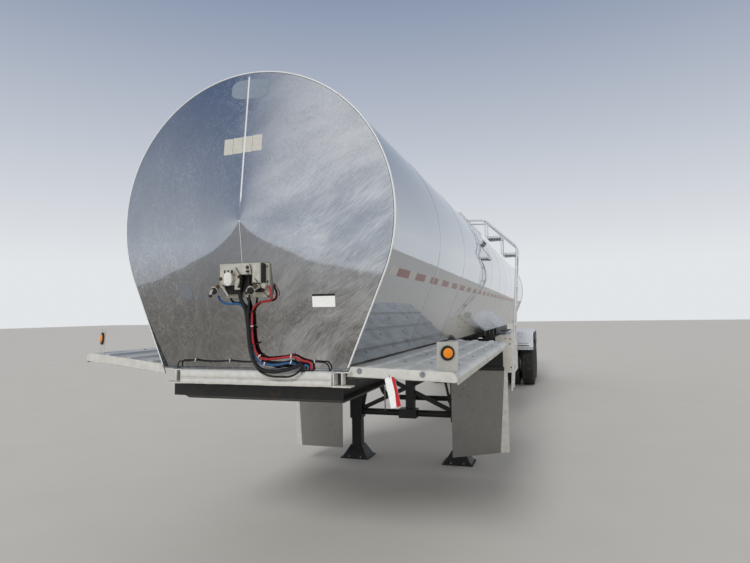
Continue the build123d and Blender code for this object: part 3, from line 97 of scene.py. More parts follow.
# %% Camera
camera_place = at(1707.4, -2944.5, 1716.0)
camera_yaw = radians(17.70)
camera_pitch = radians(3.27)
camera_roll = radians(-0.83)
focal_pixels = 561.1
image_width = 750
camera_data = bpy.data.cameras.new("camera")
camera_data.sensor_width = 36.0
camera_data.lens = focal_pixels / image_width * camera_data.sensor_width
camera_data.clip_end = 200.0
camera = bpy.data.objects.new("camera", camera_data)
camera.matrix_world = (
    Matrix.Translation(camera_place)
    @ Matrix.Rotation(camera_yaw, 4, "Z")
    @ Matrix.Rotation(pi / 2 + camera_pitch, 4, "X")
    @ Matrix.Rotation(camera_roll, 4, "Z")
)
scene.collection.objects.link(camera)
scene.camera = camera
print("lens", round(camera_data.lens, 2), "mm")

# %% [markdown]
# ## Colours and nodes
#
# Colours are written as they look on a screen, in sRGB hex, and one function turns them into the
# linear values that the renderer works with. One more function adds a node, sets its options and
# links what it is given, so that each material below reads like a recipe.


# %% Colour and node helpers
def linear(code):
    """An sRGB hex colour as linear red, green, blue and alpha."""
    parts = [int(code[start : start + 2], 16) / 255 for start in (1, 3, 5)]
    return tuple(c / 12.92 if c <= 0.04045 else ((c + 0.055) / 1.055) ** 2.4 for c in parts) + (1.0,)


def feed(tree, node, fill):
    """Gives a node's inputs the values or the links in fill."""
    for name, value in fill.items():
        if isinstance(value, bpy.types.NodeSocket):
            tree.links.new(value, node.inputs[name])
        else:
            node.inputs[name].default_value = value


def add_node(tree, kind, fill=None, **settings):
    """Adds a node, sets its options and feeds its inputs."""
    made = tree.nodes.new(kind)
    for name, value in settings.items():
        setattr(made, name, value)
    feed(tree, made, fill or {})
    return made


def start_material(name):
    """A material with its node tree, its Principled shader and the object's coordinates."""
    made = bpy.data.materials.new(name)
    made.use_nodes = True
    tree = made.node_tree
    shader = tree.nodes["Principled BSDF"]
    place = add_node(tree, "ShaderNodeTexCoord").outputs["Object"]
    return made, tree, shader, place


def spread_noise(tree, place, size, stretch=(1, 1, 1), detail=4.0, turn=(0, 0, 0), seed=0.0):
    """Noise whose blots are about size millimetres, drawn out along each axis by stretch."""
    scale = [size * MM * amount for amount in stretch]
    fill = {"Vector": place, "Location": (seed,) * 3, "Rotation": turn, "Scale": scale}
    mapped = add_node(tree, "ShaderNodeMapping", fill, vector_type="TEXTURE")
    fill = {"Vector": mapped.outputs["Vector"], "Scale": 1.0, "Detail": detail}
    return add_node(tree, "ShaderNodeTexNoise", fill).outputs["Fac"]


def between(tree, value, low, high, start=0.0, end=1.0):
    """Turns the stretch of a value from low to high into the stretch from start to end."""
    fill = {"Value": value, 1: low, 2: high, 3: start, 4: end}
    return add_node(tree, "ShaderNodeMapRange", fill).outputs["Result"]


def blend_colours(tree, share, first, second):
    """Two colours mixed by a share, each of them a hex code or a link."""
    pair = [linear(colour) if isinstance(colour, str) else colour for colour in (first, second)]
    fill = {0: share, 6: pair[0], 7: pair[1]}
    return add_node(tree, "ShaderNodeMix", fill, data_type="RGBA").outputs[2]


def sums(tree, kind, first, second=0.0):
    """One arithmetic step on two numbers."""
    return add_node(tree, "ShaderNodeMath", {0: first, 1: second}, operation=kind).outputs[0]


def raise_surface(tree, shader, height, depth):
    """Bumps a surface by a height pattern that is depth millimetres deep."""
    fill = {"Height": height, "Strength": 1.0, "Distance": depth * MM}
    bump = add_node(tree, "ShaderNodeBump", fill)
    tree.links.new(bump.outputs["Normal"], shader.inputs["Normal"])


finishes = {}
print("helpers ready")

# %% [markdown]
# ## Polished stainless jacket
#
# The jacket is thin 304 stainless sheet, rolled round the insulation and polished to a mirror.
# A mirror has almost no colour of its own: what the eye reads is how straight the reflections
# are. So the roughness stays low, and a very shallow, very wide bump gives the slow waves that
# thin sheet always has between its bands. Road dust dulls the lowest flanks.

# %% Mirror stainless of the barrel
material, tree, shader, place = start_material("polished_stainless_sheet")
cloudy = spread_noise(tree, place, 700, (1, 2.2, 1))
streaks = spread_noise(tree, place, 9, (1, 60, 1), 3.0)
height = add_node(tree, "ShaderNodeSeparateXYZ", {0: place}).outputs["Z"]
dusty_below, clean_above = 1.4, 1.75  # metres over the ground
dust = between(tree, height, dusty_below, clean_above, 1.0, 0.0)
dust = sums(tree, "MULTIPLY", dust, between(tree, cloudy, 0.35, 0.75, 0.15, 0.6))
steel = blend_colours(tree, between(tree, cloudy, 0.3, 0.7), "#BEC3C9", "#B1B7BE")
colour = blend_colours(tree, dust, steel, "#A89F90")
gloss = between(tree, streaks, 0.35, 0.8, 0.02, 0.06)
gloss = sums(tree, "ADD", gloss, sums(tree, "MULTIPLY", dust, 0.35))
feed(tree, shader, {"Base Color": colour, "Roughness": gloss, "Metallic": 1.0})
waves = spread_noise(tree, place, 420, (1, 1.6, 1), 1.0)
raise_surface(tree, shader, waves, 1.0)
finishes["jacket_stainless"] = material
print("made", material.name)

# %% [markdown]
# ## Scratched and hazed front head
#
# The front head meets branches, tractor lines and the wash brush, so its polish is hazed. Seen
# close, the haze is thousands of fine scratches that curl round. Four sets of thin streaks at
# different turns, bent by a slow swirl, give them, and a cloud pattern dulls patches of the
# polish. The scratches are drawn over two millimetres wide, wider than real ones, so that they
# show, and their pale colour is partly a painted glint. On the right half, pale diagonal streaks
# are a painted highlight for the glare of the light in the haze. Low down, a brownish painted
# reflection of the ground, with faint swirled contours, is mixed into the colour.

# %% Hazed stainless of the front head
material, tree, shader, place = start_material("hazed_stainless_head")
swirl = add_node(tree, "ShaderNodeTexNoise", {"Vector": place, "Scale": 1.7, "Detail": 1.0}).outputs["Color"]
bend = add_node(tree, "ShaderNodeVectorMath", {0: swirl, 3: 0.16}, operation="SCALE").outputs[0]
curled = add_node(tree, "ShaderNodeVectorMath", {0: place, 1: bend}, operation="ADD").outputs[0]
scratches = None
for turn, width in ((0.35, 2.6), (1.25, 2.2), (2.2, 2.4), (2.85, 2.6)):
    streak = spread_noise(tree, curled, width, (1, 20, 26), 2.0, (0, turn, 0), turn * 7)
    line = between(tree, streak, 0.62, 0.70)
    scratches = line if scratches is None else sums(tree, "MAXIMUM", scratches, line)
haze = spread_noise(tree, place, 420, (1, 1, 1.3), 6.0, seed=3.0)
spots = between(tree, spread_noise(tree, place, 14, detail=2.0, seed=8.0), 0.70, 0.76)
marks = sums(tree, "MULTIPLY", scratches, between(tree, haze, 0.35, 0.65, 0.25, 0.9))
fine = spread_noise(tree, curled, 5, (14, 1, 1), 5.0, (0, radians(-42), 0), 11.0)
broad = spread_noise(tree, curled, 110, (2.5, 1, 1), 6.0, (0, radians(-30), 0), 5.0)
place_parts = add_node(tree, "ShaderNodeSeparateXYZ", {0: place}).outputs
# Pale diagonal streaks on the right half of the head only: a painted highlight for the glare of the light in
# the haze.
glare_side_share = between(tree, place_parts["X"], -0.20, 0.40)
painted_glare = between(tree, sums(tree, "ADD", sums(tree, "MULTIPLY", fine, 0.7), broad), 0.72, 1.10)
painted_glare = sums(tree, "MULTIPLY", painted_glare, glare_side_share)
steel = blend_colours(tree, between(tree, haze, 0.3, 0.75), "#A6ABB4", "#B6BAC0")
# The pale colour is the scratches, partly a painted glint, and the painted glare on the right half.
scratches_and_painted_glare = sums(tree, "MAXIMUM", sums(tree, "MULTIPLY", marks, 0.7), sums(tree, "MULTIPLY", painted_glare, 0.7))
# Low down, a brownish painted reflection of the ground, with faint swirled contours, is mixed into the
# colour.
ground_reflection_share = between(tree, place_parts["Z"], 1.72, 2.12, 1.0, 0.0)
reflection_ripples = sums(tree, "MULTIPLY", spread_noise(tree, place, 300, (1, 1, 1.4), 2.0, seed=21.0), 95.0)
reflection_contours = between(tree, sums(tree, "SINE", reflection_ripples), 0.1, 1.0, 0.0, 0.5)
painted_ground_reflection = blend_colours(tree, reflection_contours, "#817E7A", "#9C988F")
steel = blend_colours(tree, sums(tree, "MULTIPLY", ground_reflection_share, 0.85), steel, painted_ground_reflection)
colour = blend_colours(tree, scratches_and_painted_glare, steel, "#E9EBED")
worn = between(tree, place_parts["Z"], 2.0, 2.9, 0.25, 1.0)
dull = between(tree, haze, 0.30, 0.78, 0.03, 0.13)
dull = sums(tree, "MULTIPLY", sums(tree, "ADD", dull, sums(tree, "MULTIPLY", painted_glare, 0.3)), worn)
dull = sums(tree, "ADD", dull, sums(tree, "MULTIPLY", sums(tree, "MULTIPLY", marks, worn), 0.25))
dull = sums(tree, "ADD", dull, sums(tree, "MULTIPLY", spots, 0.2))
feed(tree, shader, {"Base Color": colour, "Roughness": dull, "Metallic": 1.0})
relief = sums(tree, "ADD", spread_noise(tree, place, 380, detail=1.0), sums(tree, "MULTIPLY", marks, 0.01))
raise_surface(tree, shader, relief, 2.2)
finishes["hazed_stainless"] = material
print("made", material.name)

# %% [markdown]
# ## Aluminium in six states
#
# Decks, bolster and mud panels are mill-finish sheet and extrusion: years of weather turned the
# bright skin to a dull pale grey with runs of dirt. The walkway, the ladder's steps and the
# fenders are brighter rolled stock. The wheel discs are forged and machined, and the connector
# box is sand-cast. One recipe makes all six, since they differ only in how rough, how pale, how
# grained and how dirty they are. The drawn sheet of the mud panels is darker: painted shade.


# %% Aluminium
def aluminium(name, clean, stained, rough, grain_way, dirt_share, depth, bare, grain_size=2.4):
    """Aluminium with drawn grain along grain_way and dirt in its low spots. Its dull oxide leaves
    only the bare share of it metallic."""
    made, tree, shader, place = start_material(name)
    grain = spread_noise(tree, place, grain_size, grain_way, 3.0)
    blots = spread_noise(tree, place, 130, (1, 1.5, 1.8), 6.0, seed=4.0)
    specks = between(tree, spread_noise(tree, place, 7, detail=2.0, seed=9.0), 0.66, 0.72)
    metal = blend_colours(tree, between(tree, grain, 0.25, 0.75), clean, stained)
    dirt = sums(tree, "MULTIPLY", between(tree, blots, 0.45, 0.72), dirt_share)
    dirt = sums(tree, "MAXIMUM", dirt, sums(tree, "MULTIPLY", specks, dirt_share))
    colour = blend_colours(tree, dirt, metal, "#6E675C")
    metallic = between(tree, dirt, 0.0, 1.0, bare, 0.3)
    surface = between(tree, grain, 0.2, 0.8, rough - 0.06, rough + 0.10)
    surface = sums(tree, "ADD", surface, sums(tree, "MULTIPLY", dirt, 0.3))
    feed(tree, shader, {"Base Color": colour, "Metallic": metallic, "Roughness": surface})
    raise_surface(tree, shader, grain, depth)
    return made


aluminium_rows = {
    # name, clean, stained, roughness, way of the grain, dirt, depth, bare share, size of the grain
    "mill_aluminium": ("mill_finish_aluminium", "#C6C6C3", "#B3B3B0", 0.46, (1, 45, 1), 0.45, 0.06, 0.7),
    "bright_aluminium": (
        "bright_rolled_aluminium", "#E6E8EA", "#D6D8DC", 0.24, (1, 16, 16), 0.05, 0.001, 0.65, 22,
    ),
    "forged_aluminium": (
        "forged_machined_aluminium", "#C6C8CA", "#B4B6B8", 0.24, (1, 12, 12), 0.35, 0.03, 0.9,
    ),
    "cast_aluminium": ("sand_cast_aluminium_box", "#C9C6B9", "#AFAC9E", 0.52, (1, 1, 1), 0.4, 0.3, 0.45),
    "deck_extrusion": ("weathered_deck_extrusion", "#DDDCD5", "#CBCAC3", 0.34, (1, 60, 1), 0.3, 0.03, 0.55),
    # The drawn sheet's darker grey is painted shade for the mud panels under the decks.
    "drawn_sheet_painted_shade": ("drawn_aluminium_sheet", "#A09E99", "#94928D", 0.46, (1, 1, 24), 0.10, 0.02, 0.8),
}
for finish, recipe in aluminium_rows.items():
    finishes[finish] = aluminium(*recipe)
print("aluminium finishes", len(aluminium_rows))

# %% [markdown]
# ## Painted steel
#
# The undercarriage is welded steel under black enamel. Enamel is a smooth coat, but here it is
# years old: dust lies on what faces up, and rust shows through in spots and at edges. The side
# cabinet has the same coat in cream, much cleaner.


# %% Enamel
def enamel(name, colour, faded, rust_share, dust_share, rough):
    """Sprayed enamel over steel, with rust spots, dust on upward faces and a light orange peel."""
    made, tree, shader, place = start_material(name)
    clouds = spread_noise(tree, place, 160, detail=5.0)
    peel = spread_noise(tree, place, 5, detail=1.0)
    rust = between(tree, spread_noise(tree, place, 60, detail=8.0, seed=5.0), 0.60, 0.66, 0.0, rust_share)
    normal = add_node(tree, "ShaderNodeNewGeometry").outputs["Normal"]
    up = add_node(tree, "ShaderNodeSeparateXYZ", {0: normal})
    lying = between(tree, up.outputs["Z"], 0.3, 1.0, 0.12, 1.0)
    dust = sums(tree, "MULTIPLY", sums(tree, "MULTIPLY", lying, between(tree, clouds, 0.3, 0.7)), dust_share)
    coat = blend_colours(tree, between(tree, clouds, 0.35, 0.7), colour, faded)
    rusty = blend_colours(tree, rust, coat, "#5B3B26")
    matt = between(tree, clouds, 0.3, 0.7, rough, rough + 0.15)
    matt = sums(tree, "ADD", matt, sums(tree, "MULTIPLY", sums(tree, "MAXIMUM", rust, dust), 0.4))
    feed(tree, shader, {"Base Color": blend_colours(tree, dust, rusty, "#8D8474"), "Roughness": matt})
    raise_surface(tree, shader, sums(tree, "ADD", peel, sums(tree, "MULTIPLY", rust, 2.0)), 0.12)
    return made


finishes["black_enamel"] = enamel("black_chassis_enamel", "#121315", "#1E1F20", 0.35, 0.32, 0.40)
finishes["cream_enamel"] = enamel("cream_sprayed_enamel", "#F0EDE2", "#E8E4D7", 0.04, 0.16, 0.30)
print("enamels", 2)

# %% [markdown]
# ## Rubber and plastic
#
# Tyre rubber is never black in daylight: carbon-filled rubber goes grey-brown as wax and dust
# settle in it. The air lines are extruded nylon, smooth and a little glossy, coloured by duty.
# The loom is a ribbed black sleeve. Films, labels, covers and ties are thin plastic, moulded or
# drawn, and differ from these only in colour, gloss and grain.


# %% Rubber and plastic
def moulded(name, colour, worn, rough, dust_share, size, depth):
    """Rubber or plastic with a fine grain of the given size, and dust settled in it."""
    made, tree, shader, place = start_material(name)
    grain = spread_noise(tree, place, size, detail=3.0)
    clouds = spread_noise(tree, place, 90, detail=5.0, seed=2.0)
    base = blend_colours(tree, between(tree, grain, 0.3, 0.7), colour, worn)
    dust = between(tree, clouds, 0.38, 0.72, 0.0, dust_share)
    matt = between(tree, clouds, 0.3, 0.7, rough, rough + 0.14)
    feed(tree, shader, {"Base Color": blend_colours(tree, dust, base, "#8A8172"), "Roughness": matt})
    raise_surface(tree, shader, grain, depth)
    return made


moulded_rows = {
    # name, colour, worn colour, roughness, dust, size of the grain, its depth
    "tyre_rubber": ("moulded_tyre_rubber", "#1D1D1E", "#282827", 0.60, 0.2, 4, 0.25),
    "spring_rubber": ("moulded_bellows_rubber", "#202021", "#2A2A2A", 0.55, 0.35, 5, 0.2),
    "flap_rubber": ("sheet_rubber_flap", "#232323", "#2D2C2B", 0.6, 0.45, 6, 0.3),
    "red_hose": ("red_extruded_nylon_line", "#B3282C", "#A02327", 0.34, 0.12, 6, 0.03),
    "blue_hose": ("blue_extruded_nylon_line", "#2C5E93", "#275585", 0.34, 0.12, 6, 0.03),
    "black_sleeve": ("black_ribbed_sleeve", "#111112", "#191919", 0.42, 0.06, 3, 0.3),
    "black_plastic": ("black_moulded_nylon", "#101011", "#181819", 0.4, 0.06, 3, 0.08),
    "dark_film": ("weathered_dark_film", "#767B80", "#6C7176", 0.5, 0.1, 12, 0.05),
    "pale_vinyl": ("weathered_pale_vinyl", "#CFCDC5", "#C0BDB2", 0.45, 0.15, 8, 0.04),
    "white_vinyl": ("white_printed_vinyl", "#F7F7F4", "#EFEFEB", 0.38, 0.06, 10, 0.03),
    "red_vinyl": ("red_printed_vinyl", "#C4232B", "#B52028", 0.38, 0.06, 10, 0.03),
    "grey_film": ("matte_grey_film", "#8A95A3", "#7F8A98", 0.55, 0.08, 14, 0.04),
    "white_cover": ("white_moulded_cover", "#E4E3DE", "#D9D7D0", 0.36, 0.12, 8, 0.05),
    "white_tie": ("white_nylon_tie", "#E6E5E0", "#DCDAD4", 0.4, 0.1, 6, 0.04),
    "hub_window": ("smoked_hub_window", "#2A2622", "#332D26", 0.12, 0.1, 8, 0.02),
    "yellow_plastic": ("yellow_moulded_cap", "#D9B23C", "#CBA535", 0.4, 0.12, 8, 0.05),
}
for finish, recipe in moulded_rows.items():
    finishes[finish] = moulded(*recipe)
print("rubber and plastic finishes", len(moulded_rows))

# %% [markdown]
# ## Lamps and tape
#
# A marker lamp is a clear acrylic moulding, coloured through, with rings moulded inside that
# catch light from any side. Real tape on the flanks sends light back through tiny sealed cells.
# They are finer than 4 mm, so they are drawn at 4 mm, as small many-sided cells with raised walls.


# %% Lens and tape
def lens(name, colour, deep):
    """Coloured acrylic, a little deeper where it is thick."""
    made, tree, shader, place = start_material(name)
    thick = spread_noise(tree, place, 9, detail=1.0)
    tint = blend_colours(tree, thick, colour, deep)
    gloss = between(tree, thick, 0.2, 0.8, 0.08, 0.18)
    feed(tree, shader, {"Base Color": tint, "Roughness": gloss, "IOR": 1.49, "Coat Weight": 0.5})
    raise_surface(tree, shader, thick, 0.3)
    return made


def cell_tape(name, colour, deep):
    """Sealed-cell reflective tape: a clear face over cells about 4 mm across."""
    made, tree, shader, place = start_material(name)
    fill = {"Vector": place, "Scale": 1 / (4 * MM)}
    cells = add_node(tree, "ShaderNodeTexVoronoi", fill, feature="DISTANCE_TO_EDGE").outputs["Distance"]
    walls = between(tree, cells, 0.02, 0.12)
    tint = blend_colours(tree, walls, deep, colour)
    gloss = between(tree, walls, 0.0, 1.0, 0.5, 0.28)
    feed(tree, shader, {"Base Color": tint, "Roughness": gloss, "Coat Weight": 0.6, "Coat Roughness": 0.12})
    raise_surface(tree, shader, walls, 0.05)
    return made


finishes["amber_lens"] = lens("amber_acrylic_lens", "#FFA51E", "#F08208")
finishes["red_lens"] = lens("red_acrylic_lens", "#B3161B", "#7E0C10")
finishes["red_tape"] = cell_tape("red_cell_tape", "#86161C", "#650E13")
finishes["white_tape"] = cell_tape("white_cell_tape", "#C9CAC6", "#A9AAA6")
print("lamp and tape finishes", 4)

# %% [markdown]
# ## Fittings
#
# Valve bodies are satin stainless. Screws, nuts and brackets are zinc-plated steel, which has a
# warm grey tone and the first brown specks of rust. The same soft cloud of tone suits the brass,
# the pale castings, the weathered deck lips, the ladder's polished tube and the ground weld, whose
# near-white colour is a painted highlight.


# %% Fittings
def plated(name, clean, warm, rough, rust_share, bare=1.0):
    """Plated or satin metal with a soft cloud of tone and a few rust specks."""
    made, tree, shader, place = start_material(name)
    clouds = spread_noise(tree, place, 40, detail=4.0)
    specks = spread_noise(tree, place, 11, detail=6.0, seed=6.0)
    rust = between(tree, specks, 0.6, 0.68, 0.0, rust_share)
    tone = blend_colours(tree, between(tree, clouds, 0.3, 0.7), clean, warm)
    colour = blend_colours(tree, rust, tone, "#6A4426")
    metallic = between(tree, rust, 0.0, 1.0, bare, 0.1)
    matt = between(tree, clouds, 0.3, 0.7, rough, rough + 0.12)
    matt = sums(tree, "ADD", matt, sums(tree, "MULTIPLY", rust, 0.4))
    feed(tree, shader, {"Base Color": colour, "Metallic": metallic, "Roughness": matt})
    raise_surface(tree, shader, clouds, 0.05)
    return made


plated_rows = {
    # name, clean, warm, roughness, rust, bare share
    "valve_stainless": ("satin_stainless_fitting", "#BEC1C4", "#ADB0B3", 0.24, 0.05),
    "zinc_plate": ("zinc_plated_steel", "#B4B3AC", "#9E9B91", 0.36, 0.45),
    "brass": ("cast_brass_fitting", "#B08D4A", "#8F7038", 0.35, 0.2),
    "worn_aluminium": ("weathered_bright_extrusion", "#EAE8E1", "#DAD8D0", 0.38, 0.08, 0.5),
    "pale_casting": ("pale_die_casting", "#D6D3C8", "#BFBCAF", 0.48, 0.2, 0.45),
    "rusty_steel": ("rust_brown_steel_screw", "#8A7A66", "#7A5A3C", 0.5, 0.9),
    # The weld finish is near-white and mostly non-metallic: a painted highlight.
    "weld_white_painted_highlight": ("polished_weld_strip", "#F6F6F4", "#EEEEEC", 0.22, 0.0, 0.3),
    "polished_tube": ("polished_stainless_tube", "#F2F3F3", "#E9EAEB", 0.14, 0.0, 0.5),
}
for finish, recipe in plated_rows.items():
    finishes[finish] = plated(*recipe)
print("fitting finishes", len(plated_rows))

# %% Finishes on the CAD nodes
own_finish = {
    "deck_left": "deck_extrusion",
    "deck_right": "deck_extrusion",
    "lamp_plates": "deck_extrusion",
    "mud_panels": "drawn_sheet_painted_shade",
}
for part in frame["record"]["subparts"]:
    node = frame["nodes"][part["node"]]
    finish = finishes[own_finish.get(part["node"], part["material_slot"])]
    node.data.materials.clear()
    node.data.materials.append(finish)

# %% [markdown]
# ## Floor, background and light
#
# A plain pale floor and one broad, soft sun-like lamp from ahead of the trailer, as in the
# photograph, with an even sky all round. The background is pale at the horizon, deep blue
# overhead and white towards the lamp, which gives the mirror something to show. It is seen by
# the camera and by reflections only, and the sky that lights the trailer is kept apart and
# dimmer, so that colours come out about as they are written.

# %% Floor
floor_mesh = bpy.data.meshes.new("studio_floor")
reach = 90.0
corners = [(-reach, -reach, 0), (reach, -reach, 0), (reach, reach, 0), (-reach, reach, 0)]
floor_mesh.from_pydata(corners, [], [(0, 1, 2, 3)])
floor = bpy.data.objects.new("studio_floor", floor_mesh)
scene.collection.objects.link(floor)
material, tree, shader, place = start_material("pale_studio_floor")
patch = spread_noise(tree, place, 900, detail=3.0)
feed(tree, shader, {"Base Color": blend_colours(tree, patch, "#CFCBC4", "#C8C4BD"), "Roughness": 0.85})
floor.data.materials.append(material)
floor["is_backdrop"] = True

# %% Background and sky
key_way = Vector((-0.08, -0.83, 0.56)).normalized()
world = bpy.data.worlds.new("studio")
scene.world = world
world.use_nodes = True
tree = world.node_tree
tree.nodes.clear()
rays = add_node(tree, "ShaderNodeLightPath")
direction = add_node(tree, "ShaderNodeTexCoord").outputs["Generated"]
height = add_node(tree, "ShaderNodeSeparateXYZ", {0: direction}).outputs["Z"]
overhead = between(tree, height, 0.08, 0.66)
backdrop = blend_colours(tree, overhead, "#EBEEF1", "#4A6A98")
fill = {0: direction, 1: key_way}
towards = add_node(tree, "ShaderNodeVectorMath", fill, operation="DOT_PRODUCT").outputs["Value"]
backdrop = blend_colours(tree, between(tree, towards, 0.90, 0.99), backdrop, "#FFFFFF")
shown = add_node(tree, "ShaderNodeBackground", {"Color": backdrop, "Strength": 0.92})
lighting = add_node(tree, "ShaderNodeBackground", {"Color": linear("#F4F6FA"), "Strength": 0.55})
seen = sums(tree, "MAXIMUM", rays.outputs["Is Camera Ray"], rays.outputs["Is Glossy Ray"])
seen = sums(tree, "MAXIMUM", seen, rays.outputs["Is Transmission Ray"])
fill = {0: seen, 1: lighting.outputs[0], 2: shown.outputs[0]}
mixed = add_node(tree, "ShaderNodeMixShader", fill)
add_node(tree, "ShaderNodeOutputWorld", {"Surface": mixed.outputs[0]})

# %% Key lamp
key_data = bpy.data.lights.new("key", "SUN")
key_data.energy = 1.7
key_data.angle = radians(16)
key = bpy.data.objects.new("key", key_data)
key.rotation_mode = "QUATERNION"
key.rotation_quaternion = key_way.to_track_quat("Z", "Y")
key.visible_glossy = False
scene.collection.objects.link(key)
scene.view_settings.view_transform = "Standard"
print("floor, sky and key lamp set")

# %% [markdown]
# ## Shapes in mesh code
#
# Small hard pieces are drawn straight into a bmesh. A lathe turns a profile about a line, a
# block gets eased edges because no real edge is razor sharp, a plate pushes an outline through a
# thickness, and a bent rod carries a round section along smooth points. The rod's points are in
# place already, and the others take a placing matrix, so the finished piece can stay at the
# origin with its place in its mesh.


# %% Shape helpers
def facing_matrix(origin, facing, up=Z_AXIS):
    """A placing matrix whose Z looks along facing, and whose Y leans towards up."""
    out = Vector(facing).normalized()
    side = Vector(up).cross(out)
    if side.length < 1e-4:
        side = X_AXIS.cross(out)
    side.normalize()
    turn = Matrix((side, out.cross(side), out)).transposed().to_4x4()
    return Matrix.Translation(origin) @ turn


def standing(x, distance, z):
    """A placing matrix that only moves a shape to a place in the trailer's frame."""
    return Matrix.Translation(at(x, distance, z))


def facing_front(x, distance, z):
    """A placing matrix whose Z looks ahead of the trailer."""
    return facing_matrix(at(x, distance, z), -Y_AXIS)


def ways_round(count, first, second, share=0.0):
    """Unit vectors evenly round the circle that two directions span."""
    turns = [tau * (step + share) / count for step in range(count)]
    return [first * cos(turn) + second * sin(turn) for turn in turns]


def bridge(shape, loops, capped=False):
    """Joins each loop of vertices to the next by a strip of faces. A loop of one is a point."""
    if capped:
        shape.faces.new(list(reversed(loops[0])))
        shape.faces.new(loops[-1])
    steps = max(len(loop) for loop in loops)
    for low, high in zip(loops, loops[1:]):
        for here in range(steps):
            after = (here + 1) % steps
            corners = [low[here % len(low)], low[after % len(low)]]
            corners += [high[after % len(high)], high[here % len(high)]]
            corners = list(dict.fromkeys(corners))
            if len(corners) > 2:
                shape.faces.new(corners)


def lathe(shape, profile, place, steps=32):
    """Turns a profile of (radius, height) millimetres about the placing matrix's Z."""
    rings = []
    for radius, height in profile:
        ways = ways_round(steps, X_AXIS, Y_AXIS) if radius > 1e-6 else [X_AXIS]
        rings.append([shape.verts.new(place @ ((way * radius + Z_AXIS * height) * MM)) for way in ways])
    bridge(shape, rings)


def closed_lathe(shape, profile, place, steps=32):
    """A lathe whose profile runs back to its own start, as for a ring."""
    lathe(shape, list(profile) + [profile[0]], place, steps)


def ease_edges(shape, edges, ease):
    """Rounds edges over so many millimetres, and returns what that made."""
    return bmesh.ops.bevel(shape, geom=edges, offset=ease * MM, segments=2, profile=0.5, affect="EDGES")


def block(shape, size, place, ease=1.5):
    """A box of the given millimetres with eased edges."""
    made = bmesh.ops.create_cube(shape, size=1.0)["verts"]
    bmesh.ops.scale(shape, vec=Vector(size) * MM, verts=made)
    edges = list({edge for vert in made for edge in vert.link_edges})
    if ease:
        fresh = ease_edges(shape, edges, ease)
        made = {vert for vert in made if vert.is_valid}
        made = list(made | {vert for face in fresh["faces"] for vert in face.verts})
    bmesh.ops.transform(shape, matrix=place, verts=made)


def plate(shape, outline, thickness, place):
    """A flat outline in millimetres, pushed along the placing matrix's Z."""
    heights = (0, thickness)
    loops = [[shape.verts.new(place @ (Vector((x, y, z)) * MM)) for x, y in outline] for z in heights]
    bridge(shape, loops, capped=True)


def smooth_path(points, parts=6):
    """Points along a smooth line through the given ones."""
    spots = []
    for index in range(len(points) - 1):
        before = points[max(index - 1, 0)]
        start, end = points[index], points[index + 1]
        after = points[min(index + 2, len(points) - 1)]
        for part in range(parts):
            t = part / parts
            bend = (2 * start - 2 * end + (end - before) / 2 + (after - start) / 2) * t**3
            bend += (-3 * start + 3 * end - (end - before) - (after - start) / 2) * t**2
            spots.append(bend + (end - before) / 2 * t + start)
    spots.append(points[-1])
    return spots


def rod(shape, points, radius, sides=10, parts=6):
    """A round bar along a smooth line, closed at both ends."""
    spots = smooth_path([Vector(point) for point in points], parts)
    way = (spots[1] - spots[0]).normalized()
    side = way.orthogonal().normalized()
    rings = []
    for index, spot in enumerate(spots):
        ahead = spots[min(index + 1, len(spots) - 1)] - spots[max(index - 1, 0)]
        way = ahead.normalized()
        side = (side - way * side.dot(way)).normalized()
        ways = ways_round(sides, side, way.cross(side))
        rings.append([shape.verts.new(spot + out * radius * MM) for out in ways])
    bridge(shape, rings, capped=True)


def make_piece(name, shape, finish, body="trailer", smooth=35.0):
    """Turns a bmesh into a finished piece that rides on a body."""
    bmesh.ops.remove_doubles(shape, verts=shape.verts, dist=1e-6)
    bmesh.ops.recalc_face_normals(shape, faces=shape.faces)
    mesh = bpy.data.meshes.new(name)
    shape.to_mesh(mesh)
    shape.free()
    return finish_piece(name, mesh, finish, body, smooth)


def finish_piece(name, mesh, finish, body="trailer", smooth=35.0):
    """Gives a mesh its smooth faces, its finish and its body."""
    for face in mesh.polygons:
        face.use_smooth = True
    mesh.set_sharp_from_angle(angle=radians(smooth))
    mesh.materials.clear()
    mesh.materials.append(finishes[finish])
    piece = bpy.data.objects.new(name, mesh)
    scene.collection.objects.link(piece)
    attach(piece, body)
    print(name, "triangles", sum(len(face.vertices) - 2 for face in mesh.polygons))
    return piece


# %% [markdown]
# ## Repeats with Geometry Nodes
#
# Screws, nuts, chain links and tread lugs repeat many times, so each is one small node tree that
# puts the same shape on many spots. A spot is a vertex with the way that it faces, and a second
# direction that it is turned by. The tree ends in real geometry and its material, and the result
# is taken out as a plain mesh, so nothing stays live on the finished piece.


# %% Geometry Nodes helpers
def start_tree(name, sizes):
    """A node tree with named sizes in metres and a material. Returns the tree and its inputs."""
    tree = bpy.data.node_groups.new(name, "GeometryNodeTree")
    sides = tree.interface
    sides.new_socket("Geometry", in_out="INPUT", socket_type="NodeSocketGeometry")
    for size, value in sizes.items():
        sides.new_socket(size, in_out="INPUT", socket_type="NodeSocketFloat").default_value = value * MM
    sides.new_socket("Finish", in_out="INPUT", socket_type="NodeSocketMaterial")
    sides.new_socket("Geometry", in_out="OUTPUT", socket_type="NodeSocketGeometry")
    return tree, add_node(tree, "NodeGroupInput").outputs


